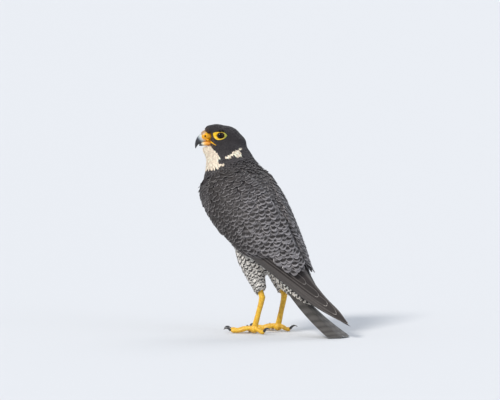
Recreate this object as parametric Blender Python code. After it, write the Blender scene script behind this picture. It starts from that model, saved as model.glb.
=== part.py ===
# Peregrine falcon, life size, standing with closed wings and its head turned to its left.
# The bird faces -Y, its left side is +X and the floor is z = 0. Stations are in millimetres,
# with x = 0 on the middle plane and y = 0 just behind the feet. The last step moves the bird
# along Y, so that the origin lies on the floor below the middle of its box.
import math
import random

import bmesh
import bpy
import numpy as np
from mathutils import Matrix, Vector

MM = 0.001
GAP = 0.3                      # clearance between nodes that touch

# Whole bird
LEG_SPREAD = 28.0              # each foot's distance from the middle plane
ANKLE = (LEG_SPREAD, 8.0, 60.0)
KNEE = (LEG_SPREAD, -27.0, 140.0)
FOOT_CENTRE = (LEG_SPREAD + 2.0, -8.0, 8.0)
HEAD_CENTRE = (5.0, -98.0, 310.5)
HEAD_TURN = math.radians(40)   # the head looks this far to the bird's left

# Horizontal sections of the trunk: height, middle y, half width, half depth
TRUNK = (
    (313, -94, 16, 16),
    (304, -91, 28.5, 28),
    (292, -86.5, 35, 34.5),
    (278, -82.5, 40, 39.5),
    (262, -74.5, 48, 46.5),
    (244, -66, 56, 56),
    (220, -56, 61, 64),
    (194, -42, 62, 67),
    (168, -27, 60, 64),
    (144, -12, 52, 57),
    (122, 5, 38, 45),
    (104, 22.5, 27, 32.5),
    (86, 39.5, 20, 27.5),
    (70, 52.5, 14.5, 25.5),
    (58, 66.5, 10, 17.5),
    (51, 72, 6.5, 12.5),
)
TRUNK_SIDES = 32
# Thigh feathering along the line from knee to ankle: fraction, half width, half depth
THIGH = (
    (-0.35, 9, 10),
    (-0.1, 17, 20),
    (0.2, 19, 23),
    (0.5, 16, 19),
    (0.75, 12.5, 14),
    (0.95, 9, 10),
    (1.06, 6.5, 7.5),
)
THIGH_SIDES = 20

SKIN_FINE_ABOVE = 286.0        # the head's skin has smaller faces than the body's

# Rounded masses of the head in its own frame: forward, height above the centre, then half
# length, half width and half height
HEAD_MASSES = (
    (-4.5, 2, 28.5, 22.5, 22.3),
    (7, 3, 15, 15.5, 17),
    (8.5, 12.6, 21, 13.5, 14.4),
    (-11, -7, 31, 23.5, 22),
    (7, -16, 25, 14.5, 15),
    (-3, -25, 30, 26, 20),
)
EYE_PLACE = (1.9, 14.6, 7.2)   # forward, aside, up from the head's centre
EYE_RADIUS = 7.0
LID_RADIUS = 7.0
LID_THICKNESS = 1.4
LID_OUT = 4.4                  # the lids' ring stands this far outside the eye's centre
BROW = ((-9, 17.4, 11.5), (-2, 18.6, 13.2), (6, 16.4, 13.0), (14, 11.0, 10.8))
BROW_RADIUS = 2.4

# Upper bill in the head's frame: forward, up, half height, half width, turn down in degrees
BILL_UPPER = (
    (14.0, 5.6, 9.4, 8.6, 0),
    (22.0, 5.6, 10.0, 8.6, 4),
    (27.5, 4.8, 10.0, 8.0, 12),
    (31.2, 2.8, 9.2, 6.9, 24),
    (35.0, -0.4, 7.2, 5.5, 44),
    (38.4, -4.0, 4.6, 3.9, 62),
    (40.8, -8.6, 2.5, 2.2, 76),
    (42.2, -12.8, 0.5, 0.5, 84),
)
BILL_LOWER = (
    (12.0, -6.6, 4.2, 7.6, 0),
    (22.0, -6.8, 4.2, 6.8, 0),
    (29.0, -7.8, 3.7, 5.2, 4),
    (34.0, -9.2, 2.4, 3.4, 12),
    (36.4, -10.4, 0.8, 1.4, 20),
)
CERE_END = 32.0                # forward place of the plane between cere and horn
NOSTRIL = (27.2, 7.6, 6.8)     # forward, aside, up
NOSTRIL_RADIUS = 1.7

# Closed left wing: lower edge, middle and upper edge of its outer face, from wrist to tip
WING = (
    ((45.5, -106.5, 224.5), (53, -93, 247), (43, -70, 262.2)),
    ((53, -91, 202), (61, -63, 234), (29, -31, 258)),
    ((59, -62, 170), (61, -22, 204), (15, -8, 238)),
    ((56, -16, 137), (50, 16, 163), (4, 29, 192)),
    ((44, 12, 115), (39, 39, 136), (2, 47, 157)),
    ((29, 48, 86.5), (22, 71.5, 98.5), (2, 75.5, 111)),
    ((13, 99, 50.5), (10, 110.5, 60.5), (2.5, 114, 69.5)),
    ((8.5, 140, 32), (6.5, 143, 38), (3.6, 145, 44.5)),
    ((7, 167, 22.0), (5.8, 168, 23.8), (4.6, 168.5, 25.5)),
)
RIGHT_WING_DROP = math.radians(1.2)
WRIST = (0.0, -93.0, 228.0)
CORE_OUT = 4.6                 # thickness of the wing's fleshy part outside its sheet
CORE_IN = 5.9                  # and inside it
CORE_CELLS = (12, 7)           # its faces along and across
BEYOND_CELLS = 6               # faces along the rest of the wing, where its room goes on
CORE_ROUND = 9.0               # distance over which its edges round off
CORE_END_LOW = 0.45            # where it ends along the lower edge, as a part of the length
CORE_END_HIGH = 0.56           # and along the upper edge
LAYER = 1.05                   # height from one overlapping vane to the next
VANE_THICK = 0.62
REMIGES = 14                   # flight feathers in each wing
REMEX_SPAN = 3.1               # spacings that one flight feather covers
REMEX_SPACING = (5.6, 3.3)     # at the core and at the wing tip
COVERTS = 9                    # greater coverts in each wing
TERTIALS = 3
COVERT_LIFT = 3.1              # height of their row above the flight feathers
RING_STEP = 24.0               # distance between the rings that all vanes of a wing share

# Tail: line of its upper middle, root to tip
TAIL_ROOT = (0.0, 36.0, 89.0)
TAIL_LENGTH = 150.0
TAIL_SLOPE = (math.radians(46), math.radians(26))
TAIL_HALF = (13.0, 29.0)       # half width at the root and near the tip
RECTRICES = 6                  # tail feathers on each side
RECTRIX_STEP = 3.4             # from one feather's outer edge to the next, at the tip
RECTRIX_WIDTH = 17.5

# Toes of the left foot: heading in degrees from straight ahead, length, radius, claw length
TOES = (
    ("hallux", 172, 23, 3.5, 15),
    ("inner", -34, 33, 3.5, 15),
    ("middle", 2, 48, 3.8, 14),
    ("outer", 33, 38, 3.3, 12),
)
SHANK = ((-0.02, 5.0, 5.4), (0.22, 4.3, 5.0), (0.55, 3.9, 4.7), (0.82, 4.4, 5.2), (0.96, 4.6, 5.2))


def clear_scene():
    for thing in list(bpy.data.objects):
        bpy.data.objects.remove(thing, do_unlink=True)


def material(name, colour, roughness):
    made = bpy.data.materials.new(name)
    made.use_nodes = True
    made.diffuse_color = (*colour, 1.0)
    shader = made.node_tree.nodes["Principled BSDF"]
    shader.inputs["Base Color"].default_value = (*colour, 1.0)
    shader.inputs["Roughness"].default_value = roughness
    shader.inputs["Metallic"].default_value = 0.0
    return made


def new_object(name, points, faces):
    """An object from points in millimetres."""
    mesh = bpy.data.meshes.new(name)
    mesh.from_pydata([tuple(c * MM for c in p) for p in points], [], faces)
    mesh.validate()
    made = bpy.data.objects.new(name, mesh)
    bpy.context.scene.collection.objects.link(made)
    return made


def replace_mesh(thing, bm):
    bmesh.ops.recalc_face_normals(bm, faces=bm.faces)
    bm.to_mesh(thing.data)
    bm.free()


def catmull(rows, t):
    """The value at t from 0 to 1 on a smooth curve through evenly numbered rows."""
    last = len(rows) - 1
    x = min(max(t, 0.0), 1.0) * last
    i = min(int(x), last - 1)
    u = x - i
    p1, p2 = np.asarray(rows[i], float), np.asarray(rows[i + 1], float)
    p0 = np.asarray(rows[i - 1], float) if i > 0 else 2 * p1 - p2
    p3 = np.asarray(rows[i + 2], float) if i + 2 <= last else 2 * p2 - p1
    a = 2 * p1
    b = p2 - p0
    c = 2 * p0 - 5 * p1 + 4 * p2 - p3
    d = 3 * p1 - p0 - 3 * p2 + p3
    return 0.5 * (a + b * u + c * u * u + d * u ** 3)


def loft(name, rings):
    """A closed object from rings of equal point counts, capped at both ends."""
    count = len(rings[0])
    points = [p for ring in rings for p in ring]
    faces = []
    for r in range(len(rings) - 1):
        for k in range(count):
            n = (k + 1) % count
            faces.append((r * count + k, r * count + n, (r + 1) * count + n, (r + 1) * count + k))
    faces.append(tuple(range(count))[::-1])
    faces.append(tuple((len(rings) - 1) * count + k for k in range(count)))
    made = new_object(name, points, faces)
    bm = bmesh.new()
    bm.from_mesh(made.data)
    replace_mesh(made, bm)
    return made


def ellipse(centre, side, up, half_side, half_up, count):
    centre, side, up = (np.asarray(v, float) for v in (centre, side, up))
    turns = (2 * math.pi * k / count for k in range(count))
    return [centre + side * half_side * math.cos(a) + up * half_up * math.sin(a) for a in turns]


def ellipsoid(name, centre, axes, halves, segments=24, rings=14):
    bm = bmesh.new()
    bmesh.ops.create_uvsphere(bm, u_segments=segments, v_segments=rings, radius=1.0)
    grid = np.array([v.co for v in bm.verts]) * np.asarray(halves, float)
    placed = grid @ np.asarray(axes, float) + np.asarray(centre, float)
    for vertex, place in zip(bm.verts, placed):
        vertex.co = Vector(place) * MM
    made = new_object(name, [], [])
    replace_mesh(made, bm)
    return made


def tube(name, path, radii, count, flat=1.0):
    """A round bar along a path, with one radius at each point."""
    path = [np.asarray(p, float) for p in path]
    rings = []
    for i, point in enumerate(path):
        ahead = path[min(i + 1, len(path) - 1)] - path[max(i - 1, 0)]
        ahead = ahead / np.linalg.norm(ahead)
        side = np.cross(ahead, (0, 0, 1) if abs(ahead[2]) < 0.9 else (0, -1, 0))
        side = side / np.linalg.norm(side)
        rings.append(ellipse(point, side, np.cross(side, ahead), radii[i], radii[i] * flat, count))
    return loft(name, rings)


def block(name, low, high, turn=0.0, pivot=(0, 0, 0)):
    """A box between two corners, turned about an X line through the pivot."""
    sides = [(low[axis], high[axis]) for axis in range(3)]
    corners = [Vector((x, y, z)) for x in sides[0] for y in sides[1] for z in sides[2]]
    spin = Matrix.Rotation(turn, 3, "X")
    pivot = Vector(pivot)
    points = [tuple(spin @ (c - pivot) + pivot) for c in corners]
    faces = [(0, 1, 3, 2), (4, 6, 7, 5), (0, 4, 5, 1), (2, 3, 7, 6), (0, 2, 6, 4), (1, 5, 7, 3)]
    return new_object(name, points, faces)


def apply_modifiers(thing):
    bpy.context.view_layer.update()
    graph = bpy.context.evaluated_depsgraph_get()
    mesh = bpy.data.meshes.new_from_object(thing.evaluated_get(graph))
    thing.modifiers.clear()
    old = thing.data
    thing.data = mesh
    bpy.data.meshes.remove(old)


def keep_largest(thing):
    """Only the largest closed surface stays."""
    bm = bmesh.new()
    bm.from_mesh(thing.data)
    left = set(bm.verts)
    shells = []
    while left:
        stack = [left.pop()]
        shell = set(stack)
        while stack:
            for edge in stack.pop().link_edges:
                for vertex in edge.verts:
                    if vertex in left:
                        left.discard(vertex)
                        shell.add(vertex)
                        stack.append(vertex)
        shells.append(shell)
    shells.sort(key=len)
    for shell in shells[:-1]:
        bmesh.ops.delete(bm, geom=list(shell), context="VERTS")
    bm.to_mesh(thing.data)
    bm.free()


def boolean(thing, others, operation, solver="EXACT"):
    """One union, difference or intersection with several objects, which are then removed."""
    group = bpy.data.collections.new("operands")
    for other in others:
        group.objects.link(other)
    bpy.context.scene.collection.children.link(group)
    step = thing.modifiers.new("cut", "BOOLEAN")
    step.operation = operation
    step.solver = solver
    step.operand_type = "COLLECTION"
    step.collection = group
    apply_modifiers(thing)
    for other in others:
        bpy.data.objects.remove(other, do_unlink=True)
    bpy.data.collections.remove(group)


def copy_of(thing, name):
    made = thing.copy()
    made.data = thing.data.copy()
    made.name = name
    bpy.context.scene.collection.objects.link(made)
    return made


def join(name, things):
    """Several closed shapes as one object, still overlapping."""
    bm = bmesh.new()
    for thing in things:
        bm.from_mesh(thing.data)
        bpy.data.objects.remove(thing, do_unlink=True)
    made = new_object(name, [], [])
    bm.to_mesh(made.data)
    bm.free()
    return made


def thin_below(thing, height, keep):
    """Fewer faces on all that lies below a height."""
    group = thing.vertex_groups.new(name="coarse")
    group.add([v.index for v in thing.data.vertices if v.co.z < height * MM], 1.0, "REPLACE")
    thin = thing.modifiers.new("thin", "DECIMATE")
    thin.ratio = keep
    thin.vertex_group = group.name
    apply_modifiers(thing)
    thing.vertex_groups.clear()


def fuse(thing, voxel, smooth, keep):
    """Overlapping masses become one smooth skin of few faces."""
    remesh = thing.modifiers.new("fuse", "REMESH")
    remesh.mode = "VOXEL"
    remesh.voxel_size = voxel * MM
    soften = thing.modifiers.new("soften", "SMOOTH")
    soften.iterations = smooth
    soften.factor = 0.5
    thin = thing.modifiers.new("thin", "DECIMATE")
    thin.ratio = keep
    apply_modifiers(thing)
    keep_largest(thing)


def part_off(thing, cutter_low, cutter_high, name, turn=0.0, pivot=(0, 0, 0)):
    """Takes what lies in a box off the thing as a new object, leaving the gap between them."""
    taken = copy_of(thing, name)
    inside = block("inside", cutter_low, cutter_high, turn, pivot)
    boolean(taken, [inside], "INTERSECT")
    low = [c - GAP for c in cutter_low]
    high = [c + GAP for c in cutter_high]
    boolean(thing, [block("outside", low, high, turn, pivot)], "DIFFERENCE")
    keep_largest(taken)
    keep_largest(thing)
    return taken


def mirrored(thing, name):
    made = copy_of(thing, name)
    made.data.transform(Matrix.Scale(-1, 4, (1, 0, 0)))
    made.data.flip_normals()
    return made


# Head frame: forward, left and up
FORWARD = np.array((math.sin(HEAD_TURN), -math.cos(HEAD_TURN), 0.0))
LEFT = np.array((math.cos(HEAD_TURN), math.sin(HEAD_TURN), 0.0))
UP = np.array((0.0, 0.0, 1.0))


def on_head(forward, aside, up):
    return np.array(HEAD_CENTRE) + FORWARD * forward + LEFT * aside + UP * up


def trunk_rings():
    rings = []
    steps = 5 * (len(TRUNK) - 1)
    for k in range(steps + 1):
        height, middle, half_x, half_y = catmull(TRUNK, k / steps)
        rings.append(ellipse((0, middle, height), (1, 0, 0), (0, 1, 0), half_x, half_y, TRUNK_SIDES))
    return rings


def thigh_mass(name):
    knee, ankle = np.array(KNEE, float), np.array(ANKLE, float)
    along = (ankle - knee) / np.linalg.norm(ankle - knee)
    front = np.cross(along, (1, 0, 0))
    rings = []
    for part, half_x, half_y in THIGH:
        centre = knee + (ankle - knee) * part
        rings.append(ellipse(centre, (1, 0, 0), front, half_x, half_y, THIGH_SIDES))
    return loft(name, rings)


def body_skin():
    """Trunk, thighs and head fused into one skin."""
    masses = [loft("trunk", trunk_rings())]
    left = thigh_mass("thigh")
    masses += [left, mirrored(left, "thigh")]
    axes = (FORWARD, LEFT, UP)
    for forward, up, length, width, height in HEAD_MASSES:
        masses.append(ellipsoid("mass", on_head(forward, 0, up), axes, (length, width, height)))
    skin = join("skin", masses)
    fuse(skin, 2.4, 8, 0.12)
    thin_below(skin, SKIN_FINE_ABOVE, 0.5)
    return skin


def sheet(t, s):
    """A point on the left wing's outer face: t from wrist to tip, s from lower to upper edge."""
    low, mid, high = catmull(WING, t)
    control = 2 * mid - 0.5 * (low + high)
    return (1 - s) ** 2 * low + 2 * s * (1 - s) * control + s * s * high


def sheet_normal(t, s):
    small = 0.004
    along = sheet(min(t + small, 1), s) - sheet(max(t - small, 0), s)
    across = sheet(t, min(s + 0.02, 1)) - sheet(t, max(s - 0.02, 0))
    normal = np.cross(across, along)
    normal = normal / np.linalg.norm(normal)
    return normal if normal[0] > 0 else -normal


def sheet_width(t):
    places = [sheet(t, k / 8) for k in range(9)]
    return sum(np.linalg.norm(b - a) for a, b in zip(places, places[1:]))


def sheet_table():
    """Lengths along the middle of the sheet, to turn millimetres into t."""
    ts = np.linspace(0, 1, 201)
    middle = np.array([sheet(t, 0.4) for t in ts])
    run = np.concatenate([[0], np.cumsum(np.linalg.norm(np.diff(middle, axis=0), axis=1))])
    return ts, run


SHEET_T, SHEET_RUN = sheet_table()
SHEET_LENGTH = SHEET_RUN[-1]


def t_at(length):
    return float(np.interp(length, SHEET_RUN, SHEET_T))


def core_end(s):
    """Where the fleshy part of the wing ends, along the line s."""
    return CORE_END_LOW + (CORE_END_HIGH - CORE_END_LOW) * s


def edge_round(distance):
    x = min(max(distance / CORE_ROUND, 0.0), 1.0)
    return math.sqrt(1 - (1 - x) ** 2)


def wing_row(i, s):
    """The place t of row i: the first rows reach the core's end, and the others the wing's tip."""
    end, rows = core_end(s), CORE_CELLS[0]
    return end * i / rows if i <= rows else end + (1 - end) * (i - rows) / BEYOND_CELLS


def wing_shell(name, out, into, along, margin):
    """A closed solid on the sheet, so many rows long, that reaches past its edges by a margin."""
    across = CORE_CELLS[1]
    layers = ([], [])
    for i in range(along + 1):
        for k in range(across + 1):
            s = k / across
            t = wing_row(i, s)
            width = sheet_width(t)
            inset = min(s, 1 - s) * width + 0.6
            ahead = float(np.interp(t, SHEET_T, SHEET_RUN)) + 0.6
            full = edge_round(inset) * edge_round(ahead)
            aside = (sheet(t, 1.0) - sheet(t, 0.0)) / width
            forward = sheet(0.0, s) - sheet(0.03, s)
            place = sheet(t, s) + aside * margin * ((k == across) - (k == 0))
            place = place + forward / np.linalg.norm(forward) * margin * (i == 0)
            normal = sheet_normal(t, s)
            layers[0].append(place + normal * (out * full + margin))
            layers[1].append(place - normal * (into * (0.35 + 0.65 * full) + margin))
    points = layers[0] + layers[1]
    count, row = len(layers[0]), across + 1
    faces = []
    for i in range(along):
        for k in range(across):
            a, b = i * row + k, i * row + k + 1
            c, d = b + row, a + row
            faces += [(a, b, c), (a, c, d)]
            faces += [(count + a, count + c, count + b), (count + a, count + d, count + c)]
    rim = [i * row for i in range(along)]
    rim += [along * row + k for k in range(across)]
    rim += [i * row + across for i in range(along, 0, -1)]
    rim += [k for k in range(across, 0, -1)]
    for a, b in zip(rim, rim[1:] + rim[:1]):
        faces += [(a, b, count + b), (a, count + b, count + a)]
    made = new_object(name, points, faces)
    bm = bmesh.new()
    bm.from_mesh(made.data)
    replace_mesh(made, bm)
    return made


def wing_core(name):
    """The arm, hand and small coverts as one solid on the sheet."""
    return wing_shell(name, CORE_OUT, CORE_IN, CORE_CELLS[0], 0.0)


def wing_room():
    """The space that the left wing takes from the trunk, all outside it included."""
    return wing_shell("room", 30.0, CORE_IN, CORE_CELLS[0] + BEYOND_CELLS, 3 * GAP)


def vane(name, rings):
    """One feather from rings of (edge, shaft, other edge), each with its normal, top first.

    Top and bottom have the same triangles, so they never cross."""
    points = []
    for ring in rings:
        points += [place for place, normal, thick in ring]
        points += [place - normal * thick for place, normal, thick in ring]
    faces = []
    for r in range(len(rings) - 1):
        a, b = 6 * r, 6 * (r + 1)
        for k in (0, 1):
            faces += [(a + k, a + k + 1, b + k + 1), (a + k, b + k + 1, b + k)]
            faces += [(a + 3 + k, b + 4 + k, a + 4 + k), (a + 3 + k, b + 3 + k, b + 4 + k)]
        faces += [(a, b, b + 3), (a, b + 3, a + 3)]
        faces += [(a + 2, a + 5, b + 5), (a + 2, b + 5, b + 2)]
    last = 6 * (len(rings) - 1)
    for base in (0, last):
        faces += [(base, base + 1, base + 4), (base, base + 4, base + 3)]
        faces += [(base + 1, base + 2, base + 5), (base + 1, base + 5, base + 4)]
    made = new_object(name, points, faces)
    bm = bmesh.new()
    bm.from_mesh(made.data)
    replace_mesh(made, bm)
    return made


def tip_shape(left, length):
    """Width of a feather near its tip, as a part of its full width, at a distance from the tip."""
    x = min(max(left / length, 0.0), 1.0)
    return math.sqrt(1 - (1 - x) ** 2)


def sheet_ring(t, outer, inner, index, spacing, lift, thick):
    """A vane's ring on the wing: outer and inner edges in millimetres from the lower edge."""
    width = sheet_width(t)
    ring = []
    for across in (outer, outer + 0.38 * (inner - outer), inner):
        s = min(max(across / width, 0.0), 1.0)
        normal = sheet_normal(t, s)
        height = lift - (across / spacing - index) * LAYER
        ring.append((sheet(t, s) + normal * height, normal, thick))
    return ring


def remex_spacing(t):
    x = (t - CORE_END_LOW) / (1 - CORE_END_LOW)
    return REMEX_SPACING[0] + (REMEX_SPACING[1] - REMEX_SPACING[0]) * min(max(x, 0.0), 1.0)


def vane_lengths(start, end):
    """The places of a vane's rings: the shared ones, then three close to its tip."""
    places = [start]
    step = math.ceil(start / RING_STEP + 0.2) * RING_STEP
    while step < end - 13:
        places.append(step)
        step += RING_STEP
    return places + [end - 9, end - 3.5, end]


def remex(index, jitter):
    """One flight feather. Index 0 is the outermost, at the lower edge, and lies deepest."""
    end = 1.0
    while end > CORE_END_LOW and (index + 1.5) * remex_spacing(end) > sheet_width(end):
        end -= 0.002
    tip = float(np.interp(end, SHEET_T, SHEET_RUN)) - jitter
    s = min(index * remex_spacing(0.5) / sheet_width(0.5), 0.95)
    start = float(np.interp(core_end(s), SHEET_T, SHEET_RUN)) - 9
    rings = []
    for place in vane_lengths(start, tip):
        t = t_at(place)
        spacing = remex_spacing(t)
        outer = index * spacing
        inner = min(outer + REMEX_SPAN * spacing, sheet_width(t))
        narrow = max(tip_shape(tip - place, 26), 0.12)
        shaft = outer + 0.38 * (inner - outer)
        rings.append(sheet_ring(t, shaft + (outer - shaft) * narrow, shaft + (inner - shaft) * narrow,
                                index, spacing, 0.0, VANE_THICK))
    return vane("remex", rings)


def upper_vane(index, jitter):
    """A greater covert, or a tertial at the upper end of the row."""
    count = COVERTS + TERTIALS
    part = index / (count - 1)
    tertial = index >= COVERTS
    reach = 27 + 3 * math.sin(2.2 * index) + (16 + 9 * (index - COVERTS) if tertial else 0)
    s = 0.93 * part
    start = float(np.interp(core_end(s), SHEET_T, SHEET_RUN)) - 8
    tip = start + 8 + reach - jitter
    rings = []
    for place in vane_lengths(start, tip):
        t = t_at(place)
        spacing = 0.93 * sheet_width(t) / (count - 1)
        outer = index * spacing
        inner = min(outer + 1.9 * spacing, sheet_width(t))
        narrow = max(tip_shape(tip - place, 12), 0.3)
        shaft = outer + 0.38 * (inner - outer)
        rings.append(sheet_ring(t, shaft + (outer - shaft) * narrow, shaft + (inner - shaft) * narrow,
                                index, spacing, COVERT_LIFT, VANE_THICK))
    return vane("covert", rings)


def left_wing(rng):
    wing = wing_core("wing_left")
    vanes = [remex(k, rng.uniform(0, 3)) for k in range(REMIGES)]
    vanes += [upper_vane(k, rng.uniform(0, 3)) for k in range(COVERTS + TERTIALS)]
    boolean(wing, vanes, "UNION")
    keep_largest(wing)
    return wing


def drop_right(thing):
    pivot = Matrix.Translation(Vector(WRIST) * MM)
    thing.data.transform(pivot @ Matrix.Rotation(-RIGHT_WING_DROP, 4, "X") @ pivot.inverted())


def tail_point(length, aside, above):
    """A point on the tail: along it, aside of its middle line and above its upper face."""
    run = min(max(length / TAIL_LENGTH, 0.0), 1.0)
    steps = 24
    y, z = TAIL_ROOT[1], TAIL_ROOT[2]
    for k in range(steps):
        slope = TAIL_SLOPE[0] + (TAIL_SLOPE[1] - TAIL_SLOPE[0]) * run * (k + 0.5) / steps
        y += math.cos(slope) * length / steps
        z -= math.sin(slope) * length / steps
    slope = TAIL_SLOPE[0] + (TAIL_SLOPE[1] - TAIL_SLOPE[0]) * run
    normal = np.array((0.0, math.sin(slope), math.cos(slope)))
    return np.array((aside, y, z)) + normal * above, normal


def rectrix(index, jitter):
    """One tail feather of the left side. Index 0 is the outermost and lies deepest."""
    tip = TAIL_LENGTH - jitter - 1.6 * (RECTRICES - 1 - index)
    rings = []
    for place in [0, 37, 75, 112, tip - 10, tip - 4, tip]:
        share = place / TAIL_LENGTH
        half = TAIL_HALF[0] + (TAIL_HALF[1] - TAIL_HALF[0]) * share
        outer = half - index * RECTRIX_STEP * half / TAIL_HALF[1]
        width = min(RECTRIX_WIDTH * (0.45 + 0.55 * share), outer - GAP)
        inner = outer - width
        narrow = max(tip_shape(tip - place, 11), 0.3)
        shaft = outer - 0.4 * width
        ring = []
        for aside in (shaft + (outer - shaft) * narrow, shaft, shaft + (inner - shaft) * narrow):
            height = (index - RECTRICES + 1) * LAYER - 0.0011 * aside * aside
            spot, normal = tail_point(place, aside, height)
            ring.append((spot, normal, VANE_THICK))
        rings.append(ring)
    return vane("rectrix", rings)


def add_tail_vanes(tail, rng):
    left = [rectrix(k, rng.uniform(0, 1.5)) for k in range(RECTRICES)]
    both = left + [mirrored(feather, "rectrix") for feather in left]
    boolean(tail, both, "UNION")
    keep_largest(tail)


def shank(name, grow):
    """The bare lower leg, from inside the thigh's feathers down into the foot."""
    ankle, foot = np.array(ANKLE), np.array(FOOT_CENTRE)
    length = np.linalg.norm(foot - ankle)
    along = (foot - ankle) / length
    side = np.array((1.0, 0.0, 0.0))
    front = np.cross(along, side)
    rings = []
    for part, half_x, half_y in SHANK:
        place = ankle + (foot - ankle) * part + along * grow * (1 if part > 0.5 else -1)
        rings.append(ellipse(place, side, front, half_x + grow, half_y + grow, 12))
    return loft(name, rings)


def toe_path(heading, length):
    """Points along a toe, from the palm to where the claw starts."""
    turn = math.radians(heading)
    ahead = np.array((math.sin(turn), -math.cos(turn), 0.0))
    centre = np.array(FOOT_CENTRE)
    shape = ((0.0, 0.0), (0.22, 0.2), (0.45, -1.8), (0.7, -4.7), (0.9, -4.6), (1.0, -3.4))
    return [centre + ahead * (part * length) + UP * rise for part, rise in shape], ahead


def foot(name):
    parts = []
    for toe, heading, length, radius, claw in TOES:
        path, ahead = toe_path(heading, length)
        radii = [radius * k for k in (1.1, 1.0, 1.16, 0.98, 1.14, 0.72)]
        parts.append(tube(toe, path, radii, 8))
    centre = np.array(FOOT_CENTRE)
    palm = ellipsoid(name, centre - UP * 1.2, np.eye(3), (7.4, 8.0, 6.6), 12, 8)
    boolean(palm, parts, "UNION")
    boolean(palm, [block("floor", (-200, -200, -60), (200, 200, 0))], "DIFFERENCE")
    keep_largest(palm)
    return palm


def claw(name, heading, length, radius, claw_length):
    """A curved claw that starts on the end face of its toe."""
    path, ahead = toe_path(heading, length)
    root = path[-1]
    direction = path[-1] - path[-2]
    tilt = math.atan2(direction[2], math.hypot(direction[0], direction[1]))
    out = ahead * math.cos(tilt) + UP * math.sin(tilt)
    points, radii = [root + out * GAP, root + out * (GAP + 1.2)], [radius * 0.66] * 2
    place = points[-1]
    bend = tilt + math.radians(24)
    for k in range(1, 5):
        place = place + (ahead * math.cos(bend) + UP * math.sin(bend)) * claw_length / 4
        bend -= math.radians(25)
        points.append(place)
        radii.append(radius * 0.66 * (1 - k / 4.3) ** 0.8)
    return tube(name, points, radii, 6)


def head_plane_box(name, forward, low, high):
    """A box that reaches from a plane across the head forwards, between two heights."""
    far, wide = 80.0, 60.0
    corners = [on_head(f, a, u) for f in (forward, far) for a in (-wide, wide) for u in (low, high)]
    faces = [(0, 1, 3, 2), (4, 6, 7, 5), (0, 4, 5, 1), (2, 3, 7, 6), (0, 2, 6, 4), (1, 5, 7, 3)]
    made = new_object(name, corners, faces)
    bm = bmesh.new()
    bm.from_mesh(made.data)
    replace_mesh(made, bm)
    return made


def bill_loft(name, stations, sides, widen=0.0):
    rings = []
    for forward, up, half_up, half_side, turn in stations:
        turn = math.radians(turn)
        across = FORWARD * math.sin(turn) + UP * math.cos(turn)
        middle = on_head(forward, 0, up)
        rings.append(ellipse(middle, LEFT, across, half_side + widen, half_up + widen, sides))
    return loft(name, rings)


def smooth_stations(stations, count):
    return [catmull(stations, k / count) for k in range(count + 1)]


def eye_spot(side):
    forward, aside, up = EYE_PLACE
    return on_head(forward, side * aside, up)


def lid_ring(name, side):
    """The bare ring round the eye, as a flattened torus facing outwards."""
    bpy.ops.mesh.primitive_torus_add(major_segments=16, minor_segments=5,
                                     major_radius=LID_RADIUS * MM, minor_radius=LID_THICKNESS * MM)
    ring = bpy.context.active_object
    ring.name = name
    outward = Vector(LEFT * side + FORWARD * 0.16 + UP * -0.02).normalized()
    turn = Vector((0, 0, 1)).rotation_difference(outward).to_matrix().to_4x4()
    spot = Vector(eye_spot(side) + np.array(outward) * LID_OUT) * MM
    ring.data.transform(Matrix.Translation(spot) @ turn)
    return ring


def dress_head(head):
    """Brows, lids, sockets, and the line of the mouth."""
    added = []
    for side in (1, -1):
        path = [on_head(f, side * a, u) for f, a, u in BROW]
        added.append(tube("brow", path, [BROW_RADIUS * k for k in (0.7, 1.0, 1.0, 0.7)], 8))
        added.append(lid_ring("lid", side))
    boolean(head, added, "UNION")
    holes = []
    for side in (1, -1):
        holes.append(ellipsoid("socket", eye_spot(side), np.eye(3), [EYE_RADIUS + GAP] * 3, 14, 8))
        corners = [on_head(f, side * a, u) for f in (13.5, 30) for a in (9.5, 40) for u in (-4.6, -3.7)]
        faces = [(0, 1, 3, 2), (4, 6, 7, 5), (0, 4, 5, 1), (2, 3, 7, 6), (0, 2, 6, 4), (1, 5, 7, 3)]
        slit = new_object("mouth", corners, faces)
        bm = bmesh.new()
        bm.from_mesh(slit.data)
        replace_mesh(slit, bm)
        holes.append(slit)
    boolean(head, holes, "DIFFERENCE")
    keep_largest(head)


def build_bill(head):
    """Cuts the face off the head and sets cere, upper and lower bill against it."""
    upper = smooth_stations(BILL_UPPER, 10)
    lower = smooth_stations(BILL_LOWER, 5)
    boolean(head, [bill_loft("clear", upper, 12, GAP), bill_loft("clear", lower, 10, GAP)], "DIFFERENCE")
    keep_largest(head)
    whole = bill_loft("beak_upper", upper, 12)
    horn_box = head_plane_box("horn", CERE_END + GAP, -60, 60)
    cere_box = head_plane_box("cut", CERE_END, -60, 60)
    cere = copy_of(whole, "cere")
    boolean(whole, [horn_box], "INTERSECT")
    nostrils = []
    for side in (1, -1):
        forward, aside, up = NOSTRIL
        place = on_head(forward, side * aside, up)
        nostrils.append(ellipsoid("nostril", place, np.eye(3), [NOSTRIL_RADIUS] * 3, 12, 8))
    boolean(cere, [cere_box] + nostrils, "DIFFERENCE")
    low = bill_loft("beak_lower", lower, 10)
    boolean(low, [bill_loft("clear", upper, 12, GAP)], "DIFFERENCE")
    for thing in (whole, cere, low):
        keep_largest(thing)
    return [whole, cere, low]


def centre_on_origin():
    """Moves the whole bird along Y to the middle of its box."""
    places = [v.co.y for thing in bpy.data.objects for v in thing.data.vertices]
    middle = 0.5 * (min(places) + max(places))
    for thing in bpy.data.objects:
        thing.data.transform(Matrix.Translation((0, -middle, 0)))


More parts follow.
